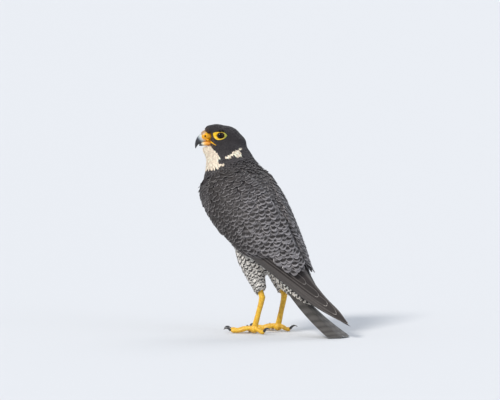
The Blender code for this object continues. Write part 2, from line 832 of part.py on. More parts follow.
def build():
    clear_scene()
    rng = random.Random(7)
    looks = {
        "hood": material("dark feathers", (0.055, 0.048, 0.05), 0.75),
        "back": material("slate feathers", (0.12, 0.115, 0.12), 0.75),
        "pale": material("barred feathers", (0.62, 0.57, 0.5), 0.8),
        "skin": material("yellow skin", (0.85, 0.55, 0.06), 0.5),
        "horn": material("horn", (0.05, 0.055, 0.065), 0.3),
        "eye": material("dark eye", (0.01, 0.008, 0.008), 0.05),
    }
    torso = body_skin()
    torso.name = "torso"
    room = wing_room()
    other = mirrored(room, "room")
    drop_right(other)
    boolean(torso, [room, other], "DIFFERENCE")
    keep_largest(torso)

    head = part_off(torso, (-80, -200, 288), (80, 0, 400), "head", math.radians(-6), HEAD_CENTRE)
    neck = part_off(torso, (-80, -200, 264), (80, 60, 400), "neck", math.radians(20), (0, -80, 264))
    tail_plane = (0.0, TAIL_ROOT[1] - 5, TAIL_ROOT[2] + 4)
    tail = part_off(torso, (-60, tail_plane[1], -60), (60, 160, 140), "tail", -TAIL_SLOPE[0], tail_plane)
    thighs = []
    for name, low, high in (("thigh_left", 10, 80), ("thigh_right", -80, -10)):
        thighs.append(part_off(torso, (low, -90, 20), (high, 19, 99), name, math.radians(-10), (0, -10, 99)))

    left = left_wing(rng)
    right = mirrored(left, "wing_right")
    drop_right(right)
    add_tail_vanes(tail, rng)
    boolean(tail, [block("floor", (-200, -200, -60), (200, 400, 0))], "DIFFERENCE")

    bill = build_bill(head)
    dress_head(head)
    eyes = [ellipsoid(name, eye_spot(side), np.eye(3), [EYE_RADIUS] * 3, 12, 8)
            for name, side in (("eye_left", 1), ("eye_right", -1))]

    shanks = [shank("shank_left", 0.0)]
    room = shank("room", GAP)
    other = mirrored(room, "room")
    boolean(thighs[0], [copy_of(room, "room")], "DIFFERENCE")
    boolean(thighs[1], [other], "DIFFERENCE")
    feet = [foot("foot_left")]
    boolean(feet[0], [room], "DIFFERENCE")
    shanks.append(mirrored(shanks[0], "shank_right"))
    feet.append(mirrored(feet[0], "foot_right"))
    claws = []
    for toe, heading, length, radius, claw_length in TOES:
        made = claw("claw_" + toe + "_left", heading, length, radius, claw_length)
        claws += [made, mirrored(made, "claw_" + toe + "_right")]

    for things, look in (
        ([head, neck], "hood"),
        ([torso, left, right, tail], "back"),
        (thighs, "pale"),
        (shanks + feet + [bill[1]], "skin"),
        (claws + [bill[0], bill[2]], "horn"),
        (eyes, "eye"),
    ):
        for thing in things:
            thing.data.materials.clear()
            thing.data.materials.append(looks[look])
    centre_on_origin()


build()
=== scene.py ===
import math
import random

import bmesh
import bpy
import numpy as np
from mathutils import Matrix, Vector
from mathutils.bvhtree import BVHTree
from mathutils.kdtree import KDTree


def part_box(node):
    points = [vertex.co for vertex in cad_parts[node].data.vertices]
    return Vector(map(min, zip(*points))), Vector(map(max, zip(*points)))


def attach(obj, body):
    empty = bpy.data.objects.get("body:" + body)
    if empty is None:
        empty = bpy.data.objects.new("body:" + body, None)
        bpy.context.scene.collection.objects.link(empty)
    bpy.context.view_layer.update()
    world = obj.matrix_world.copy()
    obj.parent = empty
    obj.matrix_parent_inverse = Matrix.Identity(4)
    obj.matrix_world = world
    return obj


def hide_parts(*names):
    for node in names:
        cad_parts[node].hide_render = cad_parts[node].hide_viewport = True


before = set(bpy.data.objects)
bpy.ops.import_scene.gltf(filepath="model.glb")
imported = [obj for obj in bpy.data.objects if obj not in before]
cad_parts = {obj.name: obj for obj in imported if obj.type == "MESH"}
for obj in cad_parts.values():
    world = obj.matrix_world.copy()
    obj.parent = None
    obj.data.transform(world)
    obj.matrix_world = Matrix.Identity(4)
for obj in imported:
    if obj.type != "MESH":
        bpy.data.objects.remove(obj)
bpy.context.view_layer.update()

# Peregrine falcon, standing, seen from behind its left shoulder. The bird faces -Y, left is +X.
# Lengths in the settings are millimetres unless a note says otherwise.
mm = 0.001


def middleOf(node):
    low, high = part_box(node)
    return (low + high) / 2


# The head's own frame comes from the two eyes: aside to its left, forward along the bill
eyeLeft, eyeRight = middleOf("eye_left"), middleOf("eye_right")
aside = (eyeLeft - eyeRight).normalized()
upward = Vector((0, 0, 1))
forward = aside.cross(upward).normalized()
eyeAt = {"forward": 1.9, "aside": 14.6, "up": 7.2}
headCentre = (eyeLeft + eyeRight) / 2 - forward * eyeAt["forward"] * mm - upward * eyeAt["up"] * mm
headFrame = Matrix.Translation(headCentre) @ Matrix((aside, -forward, upward)).transposed().to_4x4()
headAxes = np.array((forward, aside, upward))
homeY = headCentre.y / mm + 98      # the stations below count Y from just behind the feet


# Small helpers

def deselect():
    bpy.ops.object.select_all(action="DESELECT")


def pick(piece):
    deselect()
    piece.select_set(True)
    bpy.context.view_layer.objects.active = piece


def applyAll(piece):
    pick(piece)
    for modifier in list(piece.modifiers):
        bpy.ops.object.modifier_apply(modifier=modifier.name)


def faceOutwards():
    # turns the active piece's faces to point out
    bpy.ops.object.mode_set(mode="EDIT")
    bpy.ops.mesh.select_all(action="SELECT")
    bpy.ops.mesh.normals_make_consistent(inside=False)
    bpy.ops.object.mode_set(mode="OBJECT")


def joinTo(piece, others):
    deselect()
    for part in (*others, piece):
        part.select_set(True)
    bpy.context.view_layer.objects.active = piece
    bpy.ops.object.join()


def evenOut(piece, voxel, rounds):
    # modifiers that build the piece anew from even cells and soften it
    even = piece.modifiers.new("even", "REMESH")
    even.mode = "VOXEL"
    even.voxel_size = voxel * mm
    soft = piece.modifiers.new("soften", "SMOOTH")
    soft.factor = 0.5
    soft.iterations = rounds


def roundTwice(piece):
    rounding = piece.modifiers.new("round", "SUBSURF")
    rounding.levels = rounding.render_levels = 2
    applyAll(piece)


def drawOut(rings):
    # draws the active circle out from ring to ring: centre, and size in millimetres along each axis
    bpy.ops.object.mode_set(mode="EDIT")
    bpy.ops.mesh.select_all(action="SELECT")
    before, old = Vector((0, 0, 0)), (1, 1, 1)
    for number, (centre, size) in enumerate(rings):
        if number:
            bpy.ops.mesh.extrude_region_move(TRANSFORM_OT_translate={"value": centre - before})
        else:
            bpy.ops.transform.translate(value=centre)
        scale = [new / last for new, last in zip(size, old)]
        bpy.ops.transform.resize(value=scale, center_override=centre)
        before, old = centre, size
    bpy.ops.object.mode_set(mode="OBJECT")


def setUp(piece, material, slot, *nodes):
    # its finish, the body it rides on, and the solids that it stands for
    piece.data.materials.append(material)
    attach(piece, "root")
    if nodes:
        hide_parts(*nodes)


def smoothOver(values, low, high):
    x = np.clip((np.asarray(values, float) - low) / (high - low), 0, 1)
    return x * x * (3 - 2 * x)


def unit(vectors):
    length = np.linalg.norm(vectors, axis=-1, keepdims=True)
    return vectors / np.maximum(length, 1e-9)


def blend(a, b, part):
    part = np.asarray(part)[..., None]
    return np.asarray(a, float) * (1 - part) + np.asarray(b, float) * part


def fromStations(points):
    return (points + np.array((0, homeY, 0))) * mm


def toStations(points):
    return np.asarray(points) / mm - np.array((0, homeY, 0))


def addColours(mesh, colours):
    for name, values in colours.items():
        layer = mesh.attributes.new(name, "FLOAT_COLOR", "POINT")
        full = np.ones((len(mesh.vertices), 4), np.float32)
        full[:, :3] = values
        layer.data.foreach_set("color", full.ravel())


def meshOf(name, points, quads, uvs=None, colours=None):
    mesh = bpy.data.meshes.new(name)
    mesh.vertices.add(len(points))
    mesh.vertices.foreach_set("co", np.asarray(points, np.float32).ravel())
    mesh.loops.add(quads.size)
    mesh.loops.foreach_set("vertex_index", quads.astype(np.int32).ravel())
    mesh.polygons.add(len(quads))
    starts = np.arange(len(quads), dtype=np.int32) * quads.shape[1]
    mesh.polygons.foreach_set("loop_start", starts)
    mesh.update(calc_edges=True)
    for mapName, places in (uvs or {}).items():
        layer = mesh.uv_layers.new(name=mapName)
        layer.data.foreach_set("uv", places[quads.ravel()].astype(np.float32).ravel())
    addColours(mesh, colours or {})
    mesh.shade_smooth()
    piece = bpy.data.objects.new(name, mesh)
    bpy.context.scene.collection.objects.link(piece)
    return piece


def closedStrip(rows, cells, turned=False):
    # quads between two like grids of points and round their edges, and how many points one has
    count = (rows + 1) * (cells + 1)
    number = np.arange(count).reshape(rows + 1, cells + 1)
    a, b, c, d = number[:-1, :-1], number[:-1, 1:], number[1:, 1:], number[1:, :-1]
    upper = np.stack((a, d, c, b) if turned else (a, b, c, d), -1).reshape(-1, 4)
    rim = np.concatenate((number[:, 0], number[-1, 1:], number[-2::-1, -1], number[0, -2:0:-1]))
    after = np.roll(rim, -1)
    first, second = (after, rim) if turned else (rim, after)
    sides = np.stack((first, second, second + count, first + count), -1)
    return np.concatenate((upper, upper[:, ::-1] + count, sides)), count


def treeOf(points):
    tree = KDTree(len(points))
    for number, point in enumerate(points):
        tree.insert(point, number)
    tree.balance()
    return tree


# Camera, light and floor

view = {"side": 130.0, "height": 3.5, "lens": 300.0, "sensor": 36.0, "perPixel": 1.62, "pixels": 500,
        "right": -32.4, "up": 215.0}
air = {"Color": (0.80, 0.86, 0.95, 1), "Strength": 0.75}
# place of each light, towards the camera, to its right and up, then strength, softness and colour
suns = {"keyLight": ((1, -1, 1.15), 2.6, 14, (1, 0.96, 0.9)),
        "fillLight": ((1, 1.6, 0.8), 0.35, 40, (0.92, 0.96, 1)),
        "rimLight": ((-1.6, 0.6, 1.8), 0.6, 30, (1, 1, 1))}


def placeCamera():
    camera = bpy.data.cameras.new("camera")
    camera.lens = view["lens"]
    camera.sensor_width = view["sensor"]
    camera.clip_end = 150.0
    thing = bpy.data.objects.new("camera", camera)
    bpy.context.scene.collection.objects.link(thing)
    turn, lift = math.radians(view["side"]), math.radians(view["height"])
    right = Vector((math.cos(turn), math.sin(turn), 0))
    back = Vector((math.sin(turn) * math.cos(lift), -math.cos(turn) * math.cos(lift), math.sin(lift)))
    away = view["perPixel"] * view["pixels"] * mm * view["lens"] / camera.sensor_width
    aim = Vector((0, homeY * mm, view["up"] * mm)) + right * view["right"] * mm
    thing.location = aim + back * away
    thing.rotation_euler = (-back).to_track_quat("-Z", "Y").to_euler()
    bpy.context.scene.camera = thing
    return right, back


def addSun(name, toLight, strength, softness, colour):
    light = bpy.data.lights.new(name, "SUN")
    light.angle = math.radians(softness)
    light.energy = strength
    light.color = colour
    thing = bpy.data.objects.new(name, light)
    bpy.context.scene.collection.objects.link(thing)
    thing.location = toLight
    thing.rotation_euler = toLight.to_track_quat("Z", "Y").to_euler()


def lightStudio(right, back):
    scene = bpy.context.scene
    scene.view_settings.view_transform = "Standard"
    world = bpy.data.worlds.new("studio")
    scene.world = world
    world.use_nodes = True
    for name, value in air.items():
        world.node_tree.nodes["Background"].inputs[name].default_value = value
    for name, ((near, beside, high), strength, softness, colour) in suns.items():
        addSun(name, back * near + right * beside + upward * high, strength, softness, colour)


def layFloor():
    bpy.ops.mesh.primitive_plane_add(size=200, location=(0, 0, -0.0005))
    floor = bpy.context.object
    floor.name = "floor"
    bpy.ops.object.transform_apply(location=True, rotation=True, scale=True)
    paper = bpy.data.materials.new("paleFloor")
    paper.use_nodes = True
    shader = paper.node_tree.nodes["Principled BSDF"]
    shader.inputs["Base Color"].default_value = (0.62, 0.63, 0.65, 1)
    shader.inputs["Roughness"].default_value = 0.85
    floor.data.materials.append(paper)


# Materials

class Shade:
    # a socket in a material, with the sums and mixes that grow from it
    def __init__(self, tree, socket=None):
        self.tree = tree
        self.socket = socket

    def add(self, kind, settings=None, sockets=None, out=0):
        node = self.tree.nodes.new(kind)
        for name, value in (settings or {}).items():
            if name == "stops":
                elements = node.color_ramp.elements
                while len(elements) < len(value):
                    elements.new(0.5)
                for element, (place, colour) in zip(elements, value):
                    element.position = place
                    element.color = (*colour, 1)
            else:
                setattr(node, name, value)
        for name, value in (sockets or {}).items():
            if isinstance(value, Shade):
                self.tree.links.new(value.socket, node.inputs[name])
            else:
                node.inputs[name].default_value = value
        return Shade(self.tree, node.outputs[out])

    def maths(self, operation, *values):
        return self.add("ShaderNodeMath", {"operation": operation}, dict(enumerate(values)))

    def __add__(self, other):
        return self.maths("ADD", self, other)

    def __radd__(self, other):
        return self.maths("ADD", other, self)

    def __sub__(self, other):
        return self.maths("SUBTRACT", self, other)

    def __rsub__(self, other):
        return self.maths("SUBTRACT", other, self)

    def __mul__(self, other):
        return self.maths("MULTIPLY", self, other)

    def __rmul__(self, other):
        return self.maths("MULTIPLY", other, self)

    def __truediv__(self, other):
        return self.maths("DIVIDE", self, other)

    def rise(self, low, high):
        settings = {"interpolation_type": "SMOOTHSTEP"}
        return self.add("ShaderNodeMapRange", settings, {"Value": self, "From Min": low, "From Max": high})

    def mix(self, other, part, way="MIX"):
        settings = {"data_type": "RGBA", "blend_type": way}
        return self.add("ShaderNodeMix", settings, {0: part, 6: self, 7: other}, out=2)

    def tint(self, colour, part, way="MIX"):
        return self.mix((*colour, 1), part, way)

    def mixColours(self, low, high):
        settings = {"data_type": "RGBA"}
        return self.add("ShaderNodeMix", settings, {0: self, 6: (*low, 1), 7: (*high, 1)}, out=2)

    def ramp(self, *stops):
        return self.add("ShaderNodeValToRGB", {"stops": stops}, {"Fac": self})

    def attribute(self, name):
        return self.add("ShaderNodeAttribute", {"attribute_name": name})

    def ownPlace(self):
        # the piece's own coordinates, in metres
        return self.add("ShaderNodeTexCoord", out=3)

    def noise(self, scale, detail, spread):
        sockets = {"Vector": self.ownPlace(), "Scale": scale, "Detail": detail, "Roughness": spread}
        return self.add("ShaderNodeTexNoise", None, sockets)

    def split(self, kind):
        # the three parts of a colour or a vector
        outputs = self.add(kind, None, {0: self}).socket.node.outputs
        return [Shade(self.tree, outputs[k]) for k in range(3)]


def startMaterial(name, roughness, **fixed):
    made = bpy.data.materials.new(name)
    made.use_nodes = True
    shader = made.node_tree.nodes["Principled BSDF"]
    shader.inputs["Roughness"].default_value = roughness
    for socket, value in fixed.items():
        shader.inputs[socket.replace("_", " ")].default_value = value
    return made, shader, Shade(made.node_tree)


def feed(shader, name, value):
    shader.id_data.links.new(value.socket, shader.inputs[name])


def feedBump(shader, height, strength, distance):
    sockets = {"Strength": strength, "Distance": distance, "Height": height}
    feed(shader, "Normal", height.add("ShaderNodeBump", None, sockets))


def plumageMaterial(name, barbs, look):
    # ground is a feather's main colour, fringe that of its edge, and marks the width of the fringe,
    # the strength of the spots and that of the bars
    made, shader, shade = startMaterial(name, 0.6, Sheen_Weight=0.08, Sheen_Roughness=0.45,
                                        Specular_IOR_Level=0.25)
    ground, fringe = shade.attribute("ground"), shade.attribute("fringe")
    edgeWidth, spot, bar = shade.attribute("marks").split("ShaderNodeSeparateColor")
    across, along, _ = shade.add("ShaderNodeUVMap", {"uv_map": "vane"}).split("ShaderNodeSeparateXYZ")
    mottle = shade.noise(900.0, 2.0, 0.6)
    wobble = (shade.noise(260.0, 1.0, 0.5) - 0.5) * 0.12
    side = shade.maths("ABSOLUTE", across * 2 - 1)
    fromEdge = shade.maths("MINIMUM", 1 - side, (1 - along) * look.get("tipward", 1.5))
    onFringe = 1 - (fromEdge + wobble * 0.5).rise(edgeWidth * 0.45, edgeWidth * 1.2 + 0.02)
    if "rimFrom" in look:
        # long feathers are pale-edged round the tip only
        onFringe = onFringe * (along.rise(look["rimFrom"], look["rimFrom"] + 0.08) * 0.85 + 0.15)
    if "bars" in look:
        wave = shade.maths("SINE", (along + side * 0.05 + wobble * 0.25) * (2 * math.pi * look["bars"]))
        onBar = wave.rise(-0.15, 0.55) * bar
    else:
        barPlace = shade.maths("ABSOLUTE", along + side * 0.10 + wobble - 0.74)
        onBar = (1 - barPlace.rise(0.075, 0.145)) * bar
    # dark squares down the middle of the vane, the last one well before the tip
    wave = shade.maths("COSINE", (along - side * 0.05 + wobble * 0.8 - 0.70) * (2 * math.pi / 0.40))
    onSpot = wave.rise(-0.45, 0.35) * (1 - (side + wobble).rise(0.52, 0.84)) * spot
    onShaft = (1 - side.rise(0.03, 0.10)) * 0.35
    dark = shade.maths("MAXIMUM", onSpot, onBar)
    colour = ground.mix(fringe, onFringe)
    colour = colour.tint((0.017, 0.0145, 0.0145), dark * (1 - onFringe * 0.75))
    colour = colour.tint((0.03, 0.027, 0.026), onShaft * (1 - onFringe))
    colour = colour.tint((0.5, 0.5, 0.5), mottle.rise(0.3, 0.8) * 0.22, "SOFT_LIGHT")
    feed(shader, "Base Color", colour)
    feedBump(shader, shade.maths("SINE", (along + side * 0.55) * barbs), 0.22, 0.0003)
    return made


# Where the feathers change colour, size and lie. Head places are (forward, aside, up) in the
# head's frame, body places are (x, y, z) from the middle plane, the feet and the floor.

hood = {"black": (0.030, 0.026, 0.029), "nape": (0.050, 0.045, 0.049), "brown": (0.085, 0.058, 0.048)}
back = {"dark": (0.036, 0.031, 0.033), "brown": (0.028, 0.0225, 0.021), "pale": (0.130, 0.121, 0.125),
        "edgeDark": (0.235, 0.217, 0.212), "edgePale": (0.370, 0.345, 0.350)}
front = {"white": (0.82, 0.77, 0.70), "cream": (0.86, 0.73, 0.58), "shadedUnderside": (0.55, 0.53, 0.50)}
flight = {"ground": (0.025, 0.020, 0.019), "edge": (0.44, 0.40, 0.37), "marks": (0.34, 0.0, 0.0)}

# Side views of the white marks, as (forward, up), mirrored on the other side of the head
throatBorder = ((40, -8), (22, -8.5), (18, -10), (16, -12.8), (11.5, -17.4), (6.9, -23), (3, -28.7),
                (2.4, -30.4), (6.2, -33.8), (3, -37.2), (-3.3, -39.6), (-3.3, -41), (6, -46.4), (11.5, -48),
                (21, -49.5), (24, -58), (60, -58))
cheekPatch = ((-32.3, -11.6), (-20.6, -16.5), (-13.2, -23.3), (-2.6, -30.1), (-8.8, -30.6), (-14.3, -29.6),
              (-17.5, -27.2), (-27.4, -26.5), (-33.6, -24.6), (-31.1, -19.5), (-30.5, -17.1), (-34.2, -14.7))


def inside(outline, x, y):
    # how many times a line to the side crosses the outline, odd or even
    hit = np.zeros(len(x), bool)
    for (ax, ay), (bx, by) in zip(outline, outline[1:] + outline[:1]):
        spans = (ay > y) != (by > y)
        cross = ax + (y - ay) * (bx - ax) / (by - ay if by != ay else 1e-9)
        hit ^= spans & (x < cross)
    return hit


def headPlaces(places):
    # (forward, aside, up) of station places
    local = fromStations(places) - np.array(headCentre)
    return (local @ headAxes.T) / mm


trunkLine = ((313, -94), (278, -84), (244, -66), (220, -56), (194, -42), (168, -27), (144, -12),
             (122, 5), (104, 24), (86, 44), (58, 72))


def trunkAngle(places):
    # degrees round the trunk from the middle of the breast
    heights = [h for h, y in trunkLine][::-1]
    middles = [y for h, y in trunkLine][::-1]
    middle = np.interp(places[:, 2], heights, middles)
    return np.degrees(np.arctan2(np.abs(places[:, 0]), -(places[:, 1] - middle)))


def headShare(places):
    # 1 on the head, 0 from the lower neck down
    away = np.linalg.norm(headPlaces(places) - np.array((-4, 0, -2)), axis=1)
    return 1 - smoothOver(away, 34, 50)


def plumage(places):
    # the feather that grows at each place: colours, marks, spacing, length and lift
    ahead, out, up = headPlaces(places).T
    out = np.abs(out)
    angle = trunkAngle(places)
    _, y, z = places.T
    onHead = headShare(places)
    neckSide = z > 262

    white = inside(throatBorder, ahead, up) & (ahead > -8)
    white |= inside(cheekPatch, ahead, up) & (out > 8)
    # the wings' bends hide the sides of the breast
    bend = np.interp(z, (150, 175, 200, 213, 244, 254, 262), (84, 62, 46, 35, 35, 42, 60))
    white = np.where(neckSide, white, angle < bend)
    vent = (z < 118) & (y > -20) & (angle < 150)
    rump = vent & (y > 54) & (z > np.interp(y, (5, 24, 44, 72), (122, 104, 86, 60)))
    legs = (z < 112) & (y < 24)
    white = (white | vent | legs) & ~rump
    low = ~neckSide & white

    lower = smoothOver(z, 252, 165)
    ground = blend(back["dark"], back["pale"], lower)
    fringe = blend(back["edgeDark"], back["edgePale"], smoothOver(z, 262, 170))
    napeShare = smoothOver(z, 258, 290)
    ground = blend(ground, hood["nape"], napeShare)
    fringe = blend(fringe, np.array(hood["nape"]) * 1.7, napeShare)
    hoodShare = smoothOver(up, -34, -14)
    ground = blend(ground, hood["black"], hoodShare)
    fringe = blend(fringe, np.array(hood["black"]) * 1.3, hoodShare)
    lores = smoothOver(ahead, 10, 17) * smoothOver(up, 15, 6)
    lores = np.maximum(lores, smoothOver(ahead, 19, 25) * smoothOver(up, 21, 16)) * onHead
    ground = blend(ground, hood["brown"], lores)
    ground = np.where(rump[:, None], (0.10, 0.094, 0.09), ground)
    fringe = np.where(rump[:, None], (0.16, 0.15, 0.14), fringe)

    whiteGround = blend(front["cream"], front["white"], smoothOver(z, 262, 190))
    # painted shade on the underside: the white low on the front turns grey
    whiteGround = blend(whiteGround, front["shadedUnderside"], smoothOver(z, 190, 130) * smoothOver(y, 30, 10) * 0.6)
    ground = np.where(white[:, None], whiteGround, ground)
    fringe = np.where(white[:, None], np.minimum(whiteGround * 1.05, 0.88), fringe)

    edge = np.where(white, 0.06, 0.19 + 0.05 * smoothOver(angle, 120, 160))
    edge = np.where(onHead > 0.5, 0.05, edge)
    spot = np.where(white, 0.0, 0.55 + 0.45 * lower) * (1 - napeShare)
    bar = np.where(low, 0.95, 0.0) * smoothOver(z, 246, 205)
    dots = np.where(low & (z > 205), 0.55, 0.0) * smoothOver(z, 256, 226)
    spot = np.where(white, dots, spot)

    spacing = np.where(white, 5.4, 6.2 + 1.2 * lower)
    spacing = np.where(low & (z < 190), 6.6, spacing)
    spacing = np.where(legs & white, 5.2, spacing)
    spacing = np.where(vent & (y > 20), 6.2, spacing)
    spacing = spacing + (2.7 - spacing) * smoothOver(z, 252, 290)
    spacing = np.where(inside(throatBorder, ahead, up) & neckSide, np.minimum(spacing, 2.5), spacing)
    spacing = spacing + (1.6 - spacing) * onHead
    eyeAway = np.hypot(ahead - 3, up - 6)
    face = np.maximum(1 - smoothOver(eyeAway, 10, 18), smoothOver(ahead, 12, 20)) * onHead
    spacing = spacing + (0.95 - spacing) * face
    length = spacing * np.where(white, 2.5, 2.15)
    length = np.where(vent & (y > 24), 20, length)
    # narrow, long and close on head and throat
    soft = np.maximum(onHead, white & neckSide)
    length = length * (1 + 0.45 * soft)
    width = spacing * (1.5 - 0.3 * soft)
    lift = (0.35 + 0.13 * spacing) * (1 - 0.35 * soft)
    # a thicker coat fills the hollow between nape and back
    lift = lift + 1.5 * smoothOver(angle, 115, 150) * smoothOver(z, 254, 266) * smoothOver(z, 292, 276)
    return {"ground": ground, "fringe": fringe, "marks": np.stack((edge, spot, bar), 1),
            "spacing": spacing, "length": length, "width": width, "lift": lift, "white": white}


def lieOfCoat(places):
    # the way the feathers point, before they are laid on the skin
    fromBill = unit((headPlaces(places) - np.array((24, 0, 3))) @ headAxes)
    down = np.tile(unit(np.array((0.0, 0.5, -0.86))), (len(places), 1))
    _, y, z = places.T
    tailward = unit(np.array((0.0, 0.74, -0.67)))
    down = blend(down, tailward, smoothOver(y, 10, 40) * smoothOver(z, 130, 100))
    legWay = unit(np.array((0.0, 0.30, -0.95)))
    down = blend(down, legWay, smoothOver(z, 122, 96) * smoothOver(y, 22, 8))
    return unit(blend(down, fromBill, headShare(places)))


# The closed left wing as a sheet: lower edge, middle and upper edge from wrist to tip

wingStations = np.array((
    ((45.5, -106.5, 224.5), (53, -93, 247), (43, -70, 262.2)),
    ((53, -91, 202), (61, -63, 234), (29, -31, 258)),
    ((59, -62, 170), (61, -22, 204), (15, -8, 238)),
    ((56, -16, 137), (50, 16, 163), (4, 29, 192)),
    ((44, 12, 115), (39, 39, 136), (2, 47, 157)),
    ((29, 48, 86.5), (22, 71.5, 98.5), (2, 75.5, 111)),
    ((13, 99, 50.5), (10, 110.5, 60.5), (2.5, 114, 69.5)),
    ((8.5, 140, 32), (6.5, 143, 38), (3.6, 145, 44.5)),
    ((7, 167, 22.0), (5.8, 168, 23.8), (4.6, 168.5, 25.5)),
), float)
wrist = np.array((0.0, -93.0, 228.0))
rightDrop = math.radians(1.2)       # the right wing lies a little lower, behind the left one


def alongRows(rows, t):
    # smooth curve through evenly numbered rows
    last = len(rows) - 1
    x = np.clip(t, 0, 1) * last
    i = np.minimum(x.astype(int), last - 1)
    u = (x - i)[..., None, None]
    longer = np.concatenate((2 * rows[:1] - rows[1:2], rows, 2 * rows[-1:] - rows[-2:-1]))
    p0, p1, p2, p3 = longer[i], longer[i + 1], longer[i + 2], longer[i + 3]
    cubic = 3 * p1 - p0 - 3 * p2 + p3
    square = 2 * p0 - 5 * p1 + 4 * p2 - p3
    return 0.5 * (2 * p1 + (p2 - p0) * u + square * u * u + cubic * u ** 3)


def wingSheet(t, s):
    t, s = np.broadcast_arrays(np.asarray(t, float), np.asarray(s, float))
    rows = alongRows(wingStations, t)
    low, mid, high = rows[..., 0, :], rows[..., 1, :], rows[..., 2, :]
    control = 2 * mid - 0.5 * (low + high)
    s = s[..., None]
    return (1 - s) ** 2 * low + 2 * s * (1 - s) * control + s * s * high


def wingOut(t, s):
    # the way out of the sheet
    t, s = np.broadcast_arrays(np.asarray(t, float), np.asarray(s, float))
    step = wingSheet(np.minimum(t + 0.004, 1), s) - wingSheet(np.maximum(t - 0.004, 0), s)
    over = wingSheet(t, s + 0.02) - wingSheet(t, s - 0.02)
    out = unit(np.cross(over, step))
    return np.where(out[..., :1] > 0, out, -out)


sheetT = np.linspace(0, 1, 201)
sheetMiddle = wingSheet(sheetT, 0.4)
sheetRun = np.concatenate(([0], np.cumsum(np.linalg.norm(np.diff(sheetMiddle, axis=0), axis=1))))
sheetRows = wingSheet(sheetT[:, None], np.linspace(0, 1, 9)[None, :])
sheetWidth = np.linalg.norm(np.diff(sheetRows, axis=1), axis=2).sum(axis=1)


def runAt(t):
    return np.interp(t, sheetT, sheetRun)


def tAt(run):
    return np.interp(run, sheetRun, sheetT)


def widthAt(t):
    return np.interp(t, sheetT, sheetWidth)


def rearT(s):
    # where the coverts and tertials end and only flight feathers go on
    places = (0.0, 0.03, 0.18, 0.44, 0.52, 0.78, 0.90, 1.0)
    ends = (0.41, 0.43, 0.487, 0.537, 0.605, 0.640, 0.632, 0.60)
    return np.interp(np.clip(s, 0, 1), places, ends)


def coreEnd(s):
    # where the fleshy part of the wing ends, well under the coverts
    return np.minimum(rearT(s) - 0.045, 0.55)


def roundOff(distance, reach=9.0):
    x = np.clip(np.asarray(distance, float) / reach, 0, 1)
    return np.sqrt(1 - (1 - x) ** 2)


def toRight(points):
    # the right wing is the left one mirrored and dropped a little
    turn = np.array(Matrix.Rotation(-rightDrop, 3, "X"))
    flipped = points * np.array((-1.0, 1.0, 1.0))
    return (flipped - wrist) @ turn.T + wrist


# The skin under the feathers: one closed surface over head, neck, trunk, thighs and wings

skinLook = {"voxel": 1.25, "smooth": 5, "depth": 1.7, "wingOut": 2.3, "wingIn": 5.4,
            "wingSink": 2.6, "wingFade": 0.16, "wingRows": 40, "wingCells": 18, "front": 2.2}


def copyOfNodes(name, nodes):
    deselect()
    for node in nodes:
        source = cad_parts[node]
        copy = bpy.data.objects.new(node + "Copy", source.data.copy())
        bpy.context.scene.collection.objects.link(copy)
        copy.select_set(True)
        bpy.context.view_layer.objects.active = copy
    if len(nodes) > 1:
        bpy.ops.object.join()
    made = bpy.context.view_layer.objects.active
    made.name = made.data.name = name
    made.data.materials.clear()
    bpy.ops.object.mode_set(mode="EDIT")
    bpy.ops.mesh.select_all(action="SELECT")
    bpy.ops.mesh.remove_doubles(threshold=0.00001)
    bpy.ops.object.mode_set(mode="OBJECT")
    return made


def wingSlab(mirror):
    # the fleshy wing as a closed shell on the sheet
    rows, cells = skinLook["wingRows"], skinLook["wingCells"]
    s = np.broadcast_to(np.linspace(0, 1, cells + 1), (rows + 1, cells + 1))
    t = np.linspace(0, 1, rows + 1)[:, None] * coreEnd(s)
    width = widthAt(t)
    full = roundOff(np.minimum(s, 1 - s) * width + 0.5) * roundOff(runAt(t) + 0.5)
    left = coreEnd(s) - t
    thin = smoothOver(left, 0, skinLook["wingFade"])
    rise = skinLook["wingOut"] * full * thin - skinLook["wingSink"] * (1 - thin)
    out = wingOut(t, s)
    top = wingSheet(t, s) + out * rise[..., None]
    sink = skinLook["wingIn"] * (0.35 + 0.65 * full) * thin + (skinLook["wingSink"] + 1.3) * (1 - thin)
    low = wingSheet(t, s) - out * sink[..., None]
    points = np.concatenate((top.reshape(-1, 3), low.reshape(-1, 3)))
    if mirror:
        points = toRight(points)
    quads, _ = closedStrip(rows, cells)
    slab = meshOf("wingSlab", fromStations(points), quads)
    pick(slab)
    faceOutwards()
    return slab


def keepLargest(piece):
    # drops loose inner shells
    bm = bmesh.new()
    bm.from_mesh(piece.data)
    bm.verts.ensure_lookup_table()
    seen = np.zeros(len(bm.verts), int)
    label = 0
    for start in bm.verts:
        if seen[start.index]:
            continue
        label += 1
        seen[start.index] = label
        stack = [start]
        while stack:
            for edge in stack.pop().link_edges:
                for end in edge.verts:
                    if not seen[end.index]:
                        seen[end.index] = label
                        stack.append(end)
    best = np.bincount(seen)[1:].argmax() + 1
    bmesh.ops.delete(bm, geom=[v for v in bm.verts if seen[v.index] != best], context="VERTS")
    bm.to_mesh(piece.data)
    bm.free()


def skinMaterial():
    # the skin takes the colours of the feathers that grow on it, darkened a little as painted shade under
    # them
    made, shader, shade = startMaterial("featheredSkin", 0.8, Specular_IOR_Level=0.2)
    feed(shader, "Base Color", shade.attribute("ground").tint((0.4, 0.4, 0.4), 0.35, "MULTIPLY"))
    return made


# The rump and the feathered wedge under the tail: height, middle in Y, half width, half depth
rumpStations = ((126, 2, 36, 42), (115, 11, 32, 38), (104, 22.5, 27, 32.5), (86, 39.5, 20, 27.5),
                (70, 52.5, 14.5, 25.5), (58, 66.5, 10, 17.5), (51, 72, 6.5, 12.5), (48, 75, 3, 6))


